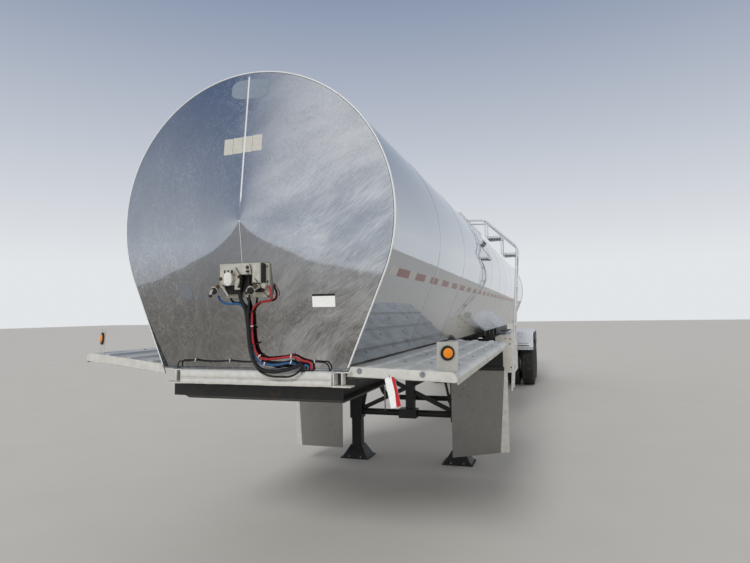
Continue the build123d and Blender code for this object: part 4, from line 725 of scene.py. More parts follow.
def end_tree(tree, inputs, shape):
    """Puts the shape on every spot, turned the way that the spot says, and ends the tree."""
    ways = []
    for name in ("facing", "heading"):
        read = add_node(tree, "GeometryNodeInputNamedAttribute", {"Name": name}, data_type="FLOAT_VECTOR")
        ways.append(read.outputs["Attribute"])
    aim = add_node(tree, "FunctionNodeAlignRotationToVector", {"Vector": ways[0]}, axis="Z")
    fill = {"Rotation": aim.outputs["Rotation"], "Vector": ways[1]}
    turned = add_node(tree, "FunctionNodeAlignRotationToVector", fill, axis="X", pivot_axis="Z")
    fill = {"Points": inputs["Geometry"], "Instance": shape, "Rotation": turned.outputs["Rotation"]}
    placed = add_node(tree, "GeometryNodeInstanceOnPoints", fill)
    real = add_node(tree, "GeometryNodeRealizeInstances", {"Geometry": placed.outputs["Instances"]})
    fill = {"Geometry": real.outputs["Geometry"], "Material": inputs["Finish"]}
    coated = add_node(tree, "GeometryNodeSetMaterial", fill)
    add_node(tree, "NodeGroupOutput", {"Geometry": coated.outputs["Geometry"]})


def grow(name, spots, tree, sizes, finish, body="trailer", smooth=35.0):
    """Puts a tree's shape on spots of (place, facing, heading) and makes one plain piece."""
    points = bpy.data.meshes.new(name + "_spots")
    points.from_pydata([spot[0] for spot in spots], [], [])
    for index, label in ((1, "facing"), (2, "heading")):
        ways = points.attributes.new(label, "FLOAT_VECTOR", "POINT")
        ways.data.foreach_set("vector", [value for spot in spots for value in Vector(spot[index])])
    carrier = bpy.data.objects.new(name + "_carrier", points)
    scene.collection.objects.link(carrier)
    modifier = carrier.modifiers.new("grow", "NODES")
    modifier.node_group = tree
    for item in tree.interface.items_tree:
        if item.in_out == "INPUT" and item.name in sizes:
            modifier[item.identifier] = sizes[item.name] * MM
        if item.in_out == "INPUT" and item.name == "Finish":
            modifier[item.identifier] = finishes[finish]
    graph = bpy.context.evaluated_depsgraph_get()
    mesh = bpy.data.meshes.new_from_object(carrier.evaluated_get(graph))
    carrier.modifiers.remove(modifier)
    bpy.data.objects.remove(carrier)
    mesh.name = name
    return finish_piece(name, mesh, finish, body, smooth)


def join_shapes(tree, *shapes):
    """Several shapes as one."""
    joined = tree.nodes.new("GeometryNodeJoinGeometry")
    for shape in reversed(shapes):
        tree.links.new(shape, joined.inputs["Geometry"])
    return joined.outputs["Geometry"]


def lifted(tree, shape, height):
    """A shape moved up its own Z by a linked height."""
    up = add_node(tree, "ShaderNodeCombineXYZ", {"Z": height}).outputs[0]
    return add_node(tree, "GeometryNodeTransform", {"Geometry": shape, "Translation": up}).outputs["Geometry"]


# %% Tree for hexagon bolts on washers
bolt_default = {"Head Radius": 12, "Head Height": 8, "Washer Radius": 16, "Washer Height": 2.5}
bolt_tree, inputs = start_tree("hexagon_bolts", bolt_default)
head_height, washer_height = inputs["Head Height"], inputs["Washer Height"]
half = sums(bolt_tree, "MULTIPLY", head_height, 0.5)
fill = {"Vertices": 6, "Radius": inputs["Head Radius"], "Depth": head_height}
head = add_node(bolt_tree, "GeometryNodeMeshCylinder", fill).outputs["Mesh"]
head = lifted(bolt_tree, head, sums(bolt_tree, "ADD", half, washer_height))
crown_radius = sums(bolt_tree, "MULTIPLY", inputs["Head Radius"], 0.8)
crown_top = sums(bolt_tree, "MULTIPLY", crown_radius, 0.75)
fill = {"Vertices": 12, "Radius Top": crown_top, "Radius Bottom": crown_radius, "Depth": half}
crown = add_node(bolt_tree, "GeometryNodeMeshCone", fill).outputs["Mesh"]
crown = lifted(bolt_tree, crown, sums(bolt_tree, "ADD", head_height, washer_height))
fill = {"Vertices": 18, "Radius": inputs["Washer Radius"], "Depth": washer_height}
washer = add_node(bolt_tree, "GeometryNodeMeshCylinder", fill).outputs["Mesh"]
washer = lifted(bolt_tree, washer, sums(bolt_tree, "MULTIPLY", washer_height, 0.5))
end_tree(bolt_tree, inputs, join_shapes(bolt_tree, head, crown, washer))
print("tree", bolt_tree.name)

# %% Tree for round heads, such as rivets, buttons and screws
button_tree, inputs = start_tree("round_heads", {"Foot Radius": 8, "Top Radius": 5, "Height": 4})
fill = {"Radius Top": inputs["Top Radius"], "Radius Bottom": inputs["Foot Radius"]}
fill |= {"Vertices": 14, "Depth": inputs["Height"]}
dome = add_node(button_tree, "GeometryNodeMeshCone", fill).outputs["Mesh"]
end_tree(button_tree, inputs, dome)
print("tree", button_tree.name)

# %% Tree for flat slabs, such as lugs, bars and ribs
slab_tree, inputs = start_tree("flat_slabs", {"Length": 40, "Width": 20, "Height": 4})
fill = {"X": inputs["Length"], "Y": inputs["Width"], "Z": inputs["Height"]}
size = add_node(slab_tree, "ShaderNodeCombineXYZ", fill).outputs[0]
slab = add_node(slab_tree, "GeometryNodeMeshCube", {"Size": size}).outputs["Mesh"]
end_tree(slab_tree, inputs, slab)
print("tree", slab_tree.name)

# %% Tree for rings, such as chain links and clips
ring_tree, inputs = start_tree("rings", {"Ring Radius": 16, "Bar Radius": 4, "Stretch": 10})
fill = {"Resolution": 16, "Radius": inputs["Ring Radius"]}
loop = add_node(ring_tree, "GeometryNodeCurvePrimitiveCircle", fill).outputs["Curve"]
position = add_node(ring_tree, "GeometryNodeInputPosition").outputs[0]
across = add_node(ring_tree, "ShaderNodeSeparateXYZ", {0: position})
pull = sums(ring_tree, "MULTIPLY", sums(ring_tree, "SIGN", across.outputs["X"]), inputs["Stretch"])
shift = add_node(ring_tree, "ShaderNodeCombineXYZ", {"X": pull}).outputs[0]
fill = {"Geometry": loop, "Offset": shift}
drawn = add_node(ring_tree, "GeometryNodeSetPosition", fill).outputs["Geometry"]
fill = {"Resolution": 8, "Radius": inputs["Bar Radius"]}
section = add_node(ring_tree, "GeometryNodeCurvePrimitiveCircle", fill).outputs["Curve"]
fill = {"Curve": drawn, "Profile Curve": section, "Fill Caps": False}
link = add_node(ring_tree, "GeometryNodeCurveToMesh", fill).outputs["Mesh"]
end_tree(ring_tree, inputs, link)
print("tree", ring_tree.name)

# %% [markdown]
# ## Places on the jacket
#
# The head is a very shallow cone with its point a little below the barrel's middle. Everything
# stuck on the head follows that cone, and everything stuck on a flank follows the jacket's
# outline: a round top, and straight flanks that leave it at a tangent and run down to the sole.

# %% The head's cone and the jacket's outline
barrel_radius, barrel_z = 895.0, 2280.0
sole_half, sole_z = 604.0, 1405.0
nose_depth, nose_z, rim_width, rim_roll = 140.0, 2260.0, 22.0, 7.0
cone_slope = (nose_depth - rim_width) / (barrel_radius - rim_roll)
sole_drop = barrel_z - sole_z
flank_turn = acos(barrel_radius / hypot(sole_half, sole_drop)) - atan2(sole_drop, sole_half)


def head_station(x, z):
    """Where the head's skin lies at x and z, in millimetres behind the rim plane."""
    return -nose_depth + cone_slope * hypot(x, z - nose_z)


def on_head(x, z, lift=0.0):
    """A point on the head's skin, or so many millimetres in front of it."""
    return at(x, head_station(x, z) - lift, z)


def flank_place(z, side):
    """How far out the jacket stands at height z on one side, and the way that it faces there."""
    rise = z - barrel_z
    if rise > barrel_radius * sin(flank_turn):
        out = sqrt(barrel_radius**2 - rise**2)
        return side * out, Vector((side * out, 0, rise)).normalized()
    out = (barrel_radius - rise * sin(flank_turn)) / cos(flank_turn)
    return side * out, Vector((side * cos(flank_turn), 0, sin(flank_turn)))


def skin(shape, outline, lift, rings=4, depth=1.0):
    """A thin film that follows the head inside a closed outline of (x, z)."""
    middle_x = sum(x for x, _ in outline) / len(outline)
    middle_z = sum(z for _, z in outline) / len(outline)
    loops = []
    for offset, order in ((lift, range(rings + 1)), (-depth, range(rings, -1, -1))):
        for ring in order:
            share = ring / rings
            loop = []
            for x, z in outline if ring else outline[:1]:
                x, z = middle_x + (x - middle_x) * share, middle_z + (z - middle_z) * share
                loop.append(shape.verts.new(on_head(x, z, offset)))
            loops.append(loop)
    bridge(shape, loops)


def rectangle(low_x, high_x, low_z, high_z, parts=6):
    """A rectangle's outline with points along each side."""
    corners = [(low_x, low_z), (high_x, low_z), (high_x, high_z), (low_x, high_z)]
    outline = []
    for (x0, z0), (x1, z1) in zip(corners, corners[1:] + corners[:1]):
        shares = [part / parts for part in range(parts)]
        outline += [(x0 + (x1 - x0) * share, z0 + (z1 - z0) * share) for share in shares]
    return outline


def oval(x, z, half_width, half_height, tilt=0.0, square=2.0, steps=36):
    """An oval's outline. A square above 2 draws it towards a rounded box."""
    outline = []
    for step in range(steps):
        angle = tau * step / steps
        u = abs(cos(angle)) ** (2 / square) * half_width * (1 if cos(angle) >= 0 else -1)
        v = abs(sin(angle)) ** (2 / square) * half_height * (1 if sin(angle) >= 0 else -1)
        turn = radians(tilt)
        outline.append((x + u * cos(turn) - v * sin(turn), z + u * sin(turn) + v * cos(turn)))
    return outline


print("cone slope", round(cone_slope, 4), "flank turn", round(flank_turn, 3))

# %% [markdown]
# ## What is fixed to the head
#
# The head is one sheet, slit from its edge to the middle and drawn into a cone, which is why
# there is one weld from the rim to the point. The weld was ground and polished to a narrow
# strip, drawn near-white as a painted highlight. The films on the head are stuck on, so each is
# a thin skin that follows the cone.
# Plates and labels stay blank.

# %% Ground weld strip
# The weld strip is drawn near-white: a painted highlight on a real ground weld.
shape = bmesh.new()
skin(shape, rectangle(-5, 5, nose_z - 6, 3150, 24), 1.2, 1)
skin(shape, rectangle(-1.2, 1.2, 2014, nose_z - 6, 16), 0.5, 1)
make_piece("ground_weld_strip", shape, "weld_white_painted_highlight")

# %% Matte film at the top, dark ovals low down, blank plates and a blank label
number_plates = [
    (rectangle(low_x, high_x, 2666 - drop, 2764 - drop), 0.9, 3)
    for low_x, high_x, drop in ((-138, -78, 0), (-76, -14, -2), (-12, 50, -5), (52, 114, -8))
]
film_rows = (
    # piece, finish, and for each film its outline, its lift and its number of rings
    ("matte_film", "grey_film", [(oval(13.5, 3069, 128, 62, -3, 3.2), 0.8, 6)]),
    (
        "dark_ovals", "dark_film",
        [(oval(-416, 1868, 60, 40, -38, 2.2), 0.8, 4), (oval(-336, 1830, 17, 17), 0.8, 2)],
    ),
    ("blank_number_plates", "pale_vinyl", number_plates),
    ("blank_label", "white_vinyl", [(rectangle(416, 548, 1757, 1818), 0.9, 4)]),
    ("label_top_strip", "black_plastic", [(rectangle(416, 548, 1818, 1830), 1.1, 3)]),
)
for name, finish, films in film_rows:
    shape = bmesh.new()
    for outline, lift, rings in films:
        skin(shape, outline, lift, rings)
    make_piece(name, shape, finish)

# %% [markdown]
# ## Connector box
#
# The box that takes the tractor's lines is a small aluminium casting on a wider back plate. Its
# left half has a cover, with a notch below it where the black lines come out, and a white lid on
# a sprung hinge over the socket. Its castings have rounded edges, so each is an outline pushed
# through a thickness and bevelled. It stands for the plainer CAD box, at the same place.

# %% Box casting, cover and back plate
box_front, plate_front = -160.0, -112.0


def casting(shape, outline, front, thickness, ease):
    """An outline in x and z pushed back from a station, with eased edges."""
    start = len(shape.edges)
    plate(shape, outline, thickness, facing_front(0, front + thickness, 0))
    shape.edges.ensure_lookup_table()
    ease_edges(shape, shape.edges[start:], ease)


back_plate = [(-104, 1818), (162, 1818), (178, 1834), (178, 2004), (168, 2014), (-104, 2014)]
box = [(-112, 1888), (8, 1888), (8, 1946), (96, 1946), (96, 1896), (149, 1896), (149, 2012), (-112, 2012)]
shape = bmesh.new()
casting(shape, back_plate, plate_front, 46, 3)
casting(shape, box, box_front, 50, 4)
piece = make_piece("connector_casting", shape, "cast_aluminium", smooth=40)
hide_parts("connector_box")
cover = [(-110, 1890), (6, 1890), (10, 1948), (92, 1948), (92, 1962), (88, 1988), (80, 2004), (72, 2010)]
spout = [(-8, 1862), (24, 1862), (24, 1870), (6, 1874), (14, 1890), (22, 1912), (20, 1926), (-8, 1910)]
shape = bmesh.new()
casting(shape, cover + [(-110, 2010)], box_front - 5, 6, 1.6)
casting(shape, rectangle(100, 145, 1900, 2008, 1), box_front - 3, 4, 1.2)
casting(shape, spout, box_front - 14, 10, 2.5)
make_piece("connector_covers", shape, "pale_casting", smooth=40)
shape = bmesh.new()
# The first three blocks are painted shade: a black fill in the notch under the cover, a black strip for the
# shaded right side wall, and a black block for the shadow under the box. The fourth, behind the right
# coupling, is a dark bracket, partly painted shade.
for outline, front, thickness, ease in (
    (rectangle(8, 98, 1852, 1948, 1), -124, 10, 1),
    (rectangle(148, 156, 1900, 2008, 1), box_front + 4, 44, 1),
    (rectangle(-98, 10, 1838, 1890, 1), -132, 26, 3),
    (rectangle(96, 146, 1846, 1888, 1), -128, 18, 4),
    ([(62, 1958), (80, 1956), (80, 1970), (66, 1968)], box_front - 16, 12, 2),
):
    casting(shape, outline, front, thickness, ease)
rod(shape, [at(80, box_front - 6, 2003), at(90, box_front - 7, 1984), at(93, box_front - 7, 1952)], 1.8)
for x, z, radius in ((164, 1992, 5), (168, 1906, 6)):
    lathe(shape, rectangle(0, radius, 0, 1.4, 1), facing_front(x, plate_front - 0.4, z), 14)
make_piece("connector_dark_parts_and_painted_shade", shape, "black_plastic", smooth=40)

# %% Socket with its white lid, hinge ears and spring
socket_x = -36
shape = bmesh.new()
lathe(shape, [(27, -2), (27, 30), (24, 33), (0, 33)], facing_front(socket_x, box_front - 4, 1922), 32)
block(shape, (40, 14, 12), standing(socket_x, box_front - 30, 1962), 3)
make_piece("socket_barrel", shape, "pale_casting")
shape = bmesh.new()
casting(shape, oval(socket_x, 1921, 25, 38, 0, 2.7), box_front - 43, 8, 2.4)
make_piece("white_socket_lid", shape, "white_cover", smooth=50)
shape = bmesh.new()
for x in (socket_x - 22, socket_x, socket_x + 22):
    block(shape, (9, 12, 17), standing(x, box_front - 33, 1963), 2.5)
spring = ((-4, -7, 1988), (8, -12, 1970), (24, -9, 1948), (36, -8, 1936))
tail = ((114, -2, 1922), (156, -22, 1880), (186, -10, 1832), (194, 20, 1812))
for spots, radius in ((spring, 2.2), (tail, 2.4)):
    rod(shape, [at(x, box_front + behind, z) for x, behind, z in spots], radius)
make_piece("lid_ears_and_spring", shape, "black_plastic")

# %% Box screws
screws = ((68, 1986), (16, 1934), (-104, 1926))
spots = [(at(x, box_front - 6, z), -Y_AXIS, X_AXIS + Z_AXIS * 0.4) for x, z in screws]
sizes = {"Head Radius": 7.5, "Head Height": 6, "Washer Radius": 10.5, "Washer Height": 1.5}
grow("box_screws", spots, bolt_tree, sizes, "rusty_steel")

# %% [markdown]
# ## Air couplings
#
# The two couplings are a pair of castings, each with a round black rubber face, a hooked ear that
# grips its mate, and a short neck that turns on a rusty bolt. The left one hangs askew. They are
# turned and bent from a few forms each, and stand for the plainer CAD ones.

# %% Air couplings
coupling_rows = (
    # face: x, distance, z, the way it looks, neck foot, neck top, end of the hook
    ((-138, -184, 1857), (0.10, -1.0, -0.2), (-116, -158, 1880), (-104, -118, 1894), (-158, -186, 1834)),
    ((99, -186, 1853), (0.16, -1.0, -0.12), (122, -158, 1874), (146, -118, 1894), (72, -180, 1846)),
)
seal = [(0, -5), (20, -5), (21, 1), (18, 6), (11, 6.5), (8, 3), (0, 2.5)]
bell = [(0, -24), (13, -24), (18, -19), (23.5, -12), (24.5, -5), (23.5, -2), (21.5, -1), (0, -6)]
plug = [(0, -4), (9, -4), (10, 6), (7, 12), (0, 13)]
nut = [(0, 0), (13, 0), (13, 5), (9, 7), (9, 12), (0, 13)]
rubber, metal, rust = bmesh.new(), bmesh.new(), bmesh.new()
for face, way, low, high, hook in coupling_rows:
    middle, foot, tip, way = at(*face), at(*low), at(*hook), Vector(way)
    place = facing_matrix(middle, way)
    lathe(rubber, seal, place, 28)
    lathe(metal, bell, place, 32)
    rod(metal, [middle - way.normalized() * 24 * MM, foot, at(*high)], 13, 14)
    ear = middle * 0.45 + tip * 0.55 + Z_AXIS * 15 * MM
    rod(metal, [middle + Z_AXIS * 22 * MM, ear, tip], 8.5, 12)
    lathe(rubber, plug, facing_matrix(tip, way * 0.4 - Z_AXIS), 16)
    lathe(rust, nut, facing_matrix(foot - Y_AXIS * 14 * MM, (-0.2, -1, 0.15)), 6)
rod(metal, [at(-98, -172, 1884), at(-80, -176, 1872), at(-64, -176, 1848), at(-54, -170, 1830)], 5.5, 10)
block(metal, (44, 30, 30), facing_matrix(at(150, -134, 1884), -Y_AXIS, (0.4, 0, 1)), 6)
rod(rust, [at(112, -170, 1896), at(124, -178, 1886), at(138, -174, 1874)], 6, 10)
piece = make_piece("coupling_castings", metal, "pale_casting")
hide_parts("air_couplings")
piece = make_piece("coupling_rubbers", rubber, "black_plastic")
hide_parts("air_couplings")
make_piece("coupling_bolts", rust, "rusty_steel")

# %% [markdown]
# ## Ties, clips and the harness along the bolster
#
# The bundle of lines is held by nylon ties pulled tight, so each tie is a thin band round the
# tube with a small square head. A thin harness for the marker lamps runs along the top edge of
# the bolster and droops a little between its clips.

# %% Ties round the bundle
tie_rows = (
    # x, station, z, the line's way, radius of the band, finish
    ((36, -88, 1738), (0.1, 0.2, -1), 24, "black_plastic"),
    ((38, -80, 1640), (0.0, 0.15, -1), 22, "black_plastic"),
    ((47, -79, 1655), (0.0, 0.15, -1), 8.2, "white_tie"),
    ((50, -70, 1548), (0.2, 0.1, -1), 24, "black_plastic"),
    ((82, -61, 1479), (0.75, 0.0, -0.6), 8.4, "white_tie"),
    ((116, -58, 1434), (1, 0, -0.05), 8.4, "white_tie"),
    ((284, -57, 1480), (1, 0, 0.05), 8.4, "white_tie"),
    ((282, -57, 1445), (1, 0, -0.2), 8.4, "white_tie"),
)
bands = {"black_plastic": bmesh.new(), "white_tie": bmesh.new()}
tie_wall = 1.6
for spot, way, radius, finish in tie_rows:
    band = facing_matrix(at(*spot), way)
    inside = radius - tie_wall
    closed_lathe(bands[finish], rectangle(inside, radius, -3, 3, 1), band, 24)
    block(bands[finish], (6, 8, 6), band @ Matrix.Translation(Vector((0, radius + 2, 0)) * MM), 0.8)
for finish, shape in bands.items():
    make_piece("ties_" + finish, shape, finish)

# %% Harness and its clips
clip_places = (-363, -122, 83, 417)
clip_z, droop, channel_foot = 1452, 7, 1400


def along_channel(x, z):
    """A point of the harness, which runs just ahead of the head and of the channel's top edge."""
    return at(x, min(head_station(x, 1444), -24) - 7, z)


shape = bmesh.new()
run = [at(-492, -31, channel_foot), at(-490, -31, 1424), at(-479, -33, 1441)]
for step in range(39):
    x = -463 + step * 24.4
    nearest = min(abs(x - clip) for clip in clip_places)
    run.append(along_channel(x, clip_z - droop * sin(min(nearest, 110) / 110 * pi / 2)))
run += [at(482, -33, 1446), at(499, -31, 1430), at(506, -31, channel_foot)]
rod(shape, run, 4.2, 10, 4)
make_piece("bolster_harness", shape, "black_sleeve")
spots = [(along_channel(x, clip_z), X_AXIS, Z_AXIS) for x in clip_places]
grow("harness_clips", spots, ring_tree, {"Ring Radius": 7, "Bar Radius": 2.6, "Stretch": 2}, "white_tie")
shape = bmesh.new()
for x, distance, radius in ((398, -38, 13), (379, -38, 12), (355, -62, 17)):
    profile = [(radius - 6, 0), (radius, 0), (radius, 5), (radius - 3, 7), (radius - 6, 6)]
    closed_lathe(shape, profile, standing(x, distance, channel_foot), 24)
make_piece("line_grommets", shape, "black_plastic")

# %% [markdown]
# ## Front channel
#
# The head rests on a formed aluminium channel. Its face leans back a little, a groove runs under
# it, and below the groove stands a rounded lip that years of tractors have knocked out of true.
# The section is carried along the channel in short steps, and the lip's points wander by a
# millimetre or two on the way. Short brackets with foot plates close both ends.

# %% Channel and its end brackets
channel_half, channel_middle = 486.0, 45.0
channel_section = (
    # distance behind the rim plane, height, how far the knocks move it
    (90, 1399.5, 0), (-57, 1399.5, 0), (-61, 1398, 0.3), (-64, 1394, 0.4), (-70, 1359, 0.6),
    (-68, 1355, 0.6), (-64, 1353, 0.4), (-64, 1350, 0.4), (-71, 1347, 1.0), (-73.5, 1342, 1.4),
    (-73.5, 1323, 1.8), (-71, 1317, 2.4), (-24, 1315, 1.0), (-24, 1323, 1.0), (-60, 1325, 0.6),
    (-56, 1391, 0), (90, 1391, 0),
)
shape = bmesh.new()
loops, steps = [], 72
for step in range(steps + 1):
    x = channel_middle - channel_half + 2 * channel_half * step / steps
    knock = 0.35 * sin(x * 0.021 + 1) * sin(x * 0.0093) + 0.15 * sin(x * 0.067 + 2)
    spots = [at(x, distance, z + knock * move) for distance, z, move in channel_section]
    loops.append([shape.verts.new(spot) for spot in spots])
bridge(shape, loops, capped=True)
piece = make_piece("front_channel", shape, "worn_aluminium", smooth=40)
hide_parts("front_bolster")
bracket_rows = (
    # out from the channel's end, width, depth, height, distance behind the rim, height of its middle
    (7, 9, 62, 78, -30, 1358),
    (52, 9, 50, 72, -22, 1361),
    (56, 112, 64, 8, -38, 1319),
    (50, 100, 50, 7, -20, 1394),
)
shape = bmesh.new()
for side in (-1, 1):
    for out, width, depth, height, distance, z in bracket_rows:
        place = standing(channel_middle + side * (channel_half + out), distance, z)
        block(shape, (width, depth, height), place, 1.5)
make_piece("channel_end_brackets", shape, "worn_aluminium")
# A black plate behind the channel fills the deep shade between the channel and the coupler: painted shade.
shape = bmesh.new()
block(shape, (1116, 8, 84), standing(5, 24, 1274), 1.5)
make_piece("shade_filling_apron", shape, "black_enamel")

# %% [markdown]
# ## Decks
#
# Each deck is three interlocking planks with raised ribs and a bullnose. Its front end is closed
# by a lip plate. Years of boots and hoses have chipped the lip's top edge, so a strip of uneven
# height is drawn along it. Round bolt heads hold the lip. A hanging tag sways below the right
# deck, with nothing on it but a red edge.

# %% Lip edges, bolts and rivets of the decks
deck_rows = (
    # side, tilt in degrees, reach of the deck
    (-1, 6.5, 594.4),
    (1, -2.0, 594.1),
)
deck_inner, deck_low = 624.0, 1398.0


def on_deck(side, tilt, reach, distance, rise):
    """A point on a tilted deck: out from its inner edge, behind the rim plane, over its underside."""
    turn = radians(tilt)
    x = deck_inner + reach * cos(turn) - rise * sin(turn)
    return at(side * x, distance, deck_low + reach * sin(turn) + rise * cos(turn))


def lip_edges(side, reach, share):
    """How far out a slice of the lip lies, and its lower and upper edge, chipped and rounded off."""
    out = -27 + (reach + 24) * share
    wave = sin(out * 0.31) * sin(out * 0.083 + side) + 0.6 * sin(out * 0.77 + 2)
    top = 33 - 8 * share + max(wave, -0.6) * 2.0
    top = min(top, -28 + (out + 27) * 2.1, 27 - max(out - reach + 34, 0) ** 2 / 26)
    low = -30.4 + 3.5 * sin(pi * share) + 0.8 * sin(out * 0.12)
    low = max(low, -30.4 + max(out - reach + 22, 0) ** 2 / 24)
    return out, low, max(top, low + 2)


shape = bmesh.new()
for side, tilt, reach in deck_rows:
    loops, steps = [], 96
    for step in range(steps + 1):
        out, low, top = lip_edges(side, reach, step / steps)
        slice_points = [(-9.6, low + 1.2), (-10.2, (low + top) / 2), (-9.4, top - 1.6)]
        slice_points += [(-8, top), (-6.2, top - 1.5), (-6.2, low)]
        loops.append([shape.verts.new(on_deck(side, tilt, out, *point)) for point in slice_points])
    bridge(shape, loops, capped=True)
make_piece("chipped_deck_lips", shape, "worn_aluminium", smooth=30)
shape = bmesh.new()
bolt_head = [(0, 9), (4, 8.6), (8, 6.5), (9.5, 3), (9.5, 1.8), (16, 1.8), (17, 0.6), (17, -1), (0, -1)]
for out in (49, 404):
    lathe(shape, bolt_head, facing_matrix(on_deck(1, -2.0, out, -10, 4), -Y_AXIS), 28)
make_piece("lip_bolts", shape, "valve_stainless", smooth=40)
spots = []
for side, tilt, _ in deck_rows:
    up = Vector((-side * sin(radians(tilt)), 0, cos(radians(tilt))))
    for distance in (450, 1070, 1720, 2350, 2990):
        spots += [(on_deck(side, tilt, out, distance, 23), up, X_AXIS) for out in (60, 190, 355, 520)]
grow("deck_rivets", spots, button_tree, {"Foot Radius": 9, "Top Radius": 5, "Height": 3.5}, "zinc_plate")

# %% Hanging tag
swing = facing_matrix(at(864, -14, 1292), -Y_AXIS, Vector((-0.22, 0, 1)))
shape = bmesh.new()
plate(shape, [(-29, -82), (29, -82), (29, 74), (18, 82), (-18, 82), (-29, 74)], 1.4, swing)
make_piece("hanging_tag", shape, "white_vinyl")
shape = bmesh.new()
plate(shape, [(2, -81), (28.6, -81), (28.6, 73), (18, 81), (10, 81), (12, 0)], 1.9, swing)
make_piece("tag_red_edge", shape, "red_vinyl")
shape = bmesh.new()
rod(shape, [swing @ (Vector((0, 76, 1)) * MM), swing @ (Vector((2, 92, 4)) * MM), at(842, -7, 1384)], 1.6, 8)
make_piece("tag_wire", shape, "zinc_plate")

# %% [markdown]
# ## The heads as one fine skin
#
# A mirror shows every facet of a mesh, so the two heads get a skin of their own on the same
# cone. It is drawn in rings about the cone's point, which keeps each face on the cone, and it
# ends in the rolled edge: a sheet edge turned over a wire, round in section, that runs the whole
# way round the outline.


# %% Outline and head skin
def outline_reach(angle, offset, middle_z):
    """How far the jacket's outline, moved outwards by offset, lies from the head's point."""
    across, up = abs(cos(angle)), sin(angle)
    radius, rise = barrel_radius + offset, middle_z - barrel_z
    reach = -up * rise + sqrt((up * rise) ** 2 - rise**2 + radius**2)
    if rise + reach * up >= radius * sin(flank_turn):
        return reach
    reach = (radius - rise * sin(flank_turn)) / (across * cos(flank_turn) + up * sin(flank_turn))
    return min(reach, (sole_z - offset - middle_z) / up)


def head_skin(name, base, outward, depth, middle_z, finish, node):
    """A head's cone and its rolled edge, as one closed skin that stands for the CAD node."""
    slope = (depth - rim_width) / (barrel_radius - rim_roll)
    angles = {tau * step / 240 for step in range(240)}
    for offset in (-rim_roll, 5.0):
        low = sole_z - offset
        out = (barrel_radius + offset - (low - barrel_z) * sin(flank_turn)) / cos(flank_turn)
        corner = atan2(low - middle_z, out)
        angles |= {corner % tau, (pi - corner) % tau}
    angles = sorted(angles)
    # each ring's offset from the outline, its share of the way out, and its height on the edge
    rows = [(-rim_roll, share, None) for share in (0.003, 0.03, 0.1, 0.2, 0.35, 0.5, 0.65, 0.8, 0.92, 1.0)]
    edge = [(-7, 17.5), (-6.3, 20), (-4.5, 21.6), (-2, 22), (1, 21.6)]
    edge += [(3.4, 20), (4.7, 17.5), (5, 14), (5, 2), (3.5, 0)]
    rows += [(offset, 1.0, height) for offset, height in edge]
    shape = bmesh.new()
    loops = [[shape.verts.new(at(0, base + outward * depth, middle_z))]]
    for offset, share, height in rows:
        loop = []
        for angle in angles:
            reach = outline_reach(angle, offset, middle_z) * share
            rise = depth - slope * reach if height is None else height
            spot = at(reach * cos(angle), base + outward * rise, middle_z + reach * sin(angle))
            loop.append(shape.verts.new(spot))
        loops.append(loop)
    loops.append([shape.verts.new(at(0, base, middle_z))])
    bridge(shape, loops)
    piece = make_piece(name, shape, finish)
    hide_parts(node)


# %% Both heads
barrel_end = tank_length * 1000
head_skin("front_head_skin", 0, -1, nose_depth, nose_z, "hazed_stainless", "front_head")
head_skin("rear_head_skin", barrel_end, 1, 120.0, barrel_z, "jacket_stainless", "rear_head")

# %% [markdown]
# ## Seam bands
#
# Each sheet of the jacket laps the next under a thin polished band, drawn tight round the barrel
# and latched under its belly. The band is the same section carried round the jacket's outline,
# so it is swept, low and with eased edges: in the photograph the bands hardly show. A near-white
# bead lies over the front head's rolled edge, along the same outline, as a painted highlight.


# %% Bands
def jacket_path(foot_z, arc_parts=88, flank_parts=6):
    """Places (x, z) and their facings up the left flank, over the top and down the right one."""
    tangent_z = barrel_z + barrel_radius * sin(flank_turn)
    left, arc = [], []
    for part in range(flank_parts):
        z = foot_z + (tangent_z - foot_z) * part / flank_parts
        x, facing = flank_place(z, -1)
        left.append((x, z, facing))
    for part in range(arc_parts + 1):
        angle = pi - flank_turn + (2 * flank_turn - pi) * part / arc_parts
        facing = Vector((cos(angle), 0, sin(angle)))
        arc.append((barrel_radius * facing.x, barrel_z + barrel_radius * facing.z, facing))
    right = [(-x, z, Vector((-facing.x, 0, facing.z))) for x, z, facing in reversed(left)]
    return left + arc + right


band_stations = [1270 + 1220 * index for index in range(10)]
band_section = ((-22.5, -0.4), (-21.5, 0.5), (-13, 1.0), (13, 1.0), (21.5, 0.5), (22.5, -0.4))
shape = bmesh.new()
for station in band_stations:
    loops = []
    for x, z, facing in jacket_path(1446):
        spots = [at(x, station + along, z) + facing * rise * MM for along, rise in band_section]
        loops.append([shape.verts.new(spot) for spot in spots])
    bridge(shape, loops, capped=True)
piece = make_piece("rolled_bands", shape, "jacket_stainless", smooth=50)
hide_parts("jacket_bands")

# %% Bright bead round the front rim
# The bead is near-white: a painted highlight along the rolled edge.
bead_station, bead_radius = -16.4, 6.2
shape = bmesh.new()
bead = [at(x, bead_station, z) - facing * 0.7 * MM for x, z, facing in jacket_path(1420)]
rod(shape, bead, bead_radius, 12, 1)
make_piece("front_rim_painted_highlight_bead", shape, "weld_white_painted_highlight", smooth=60)

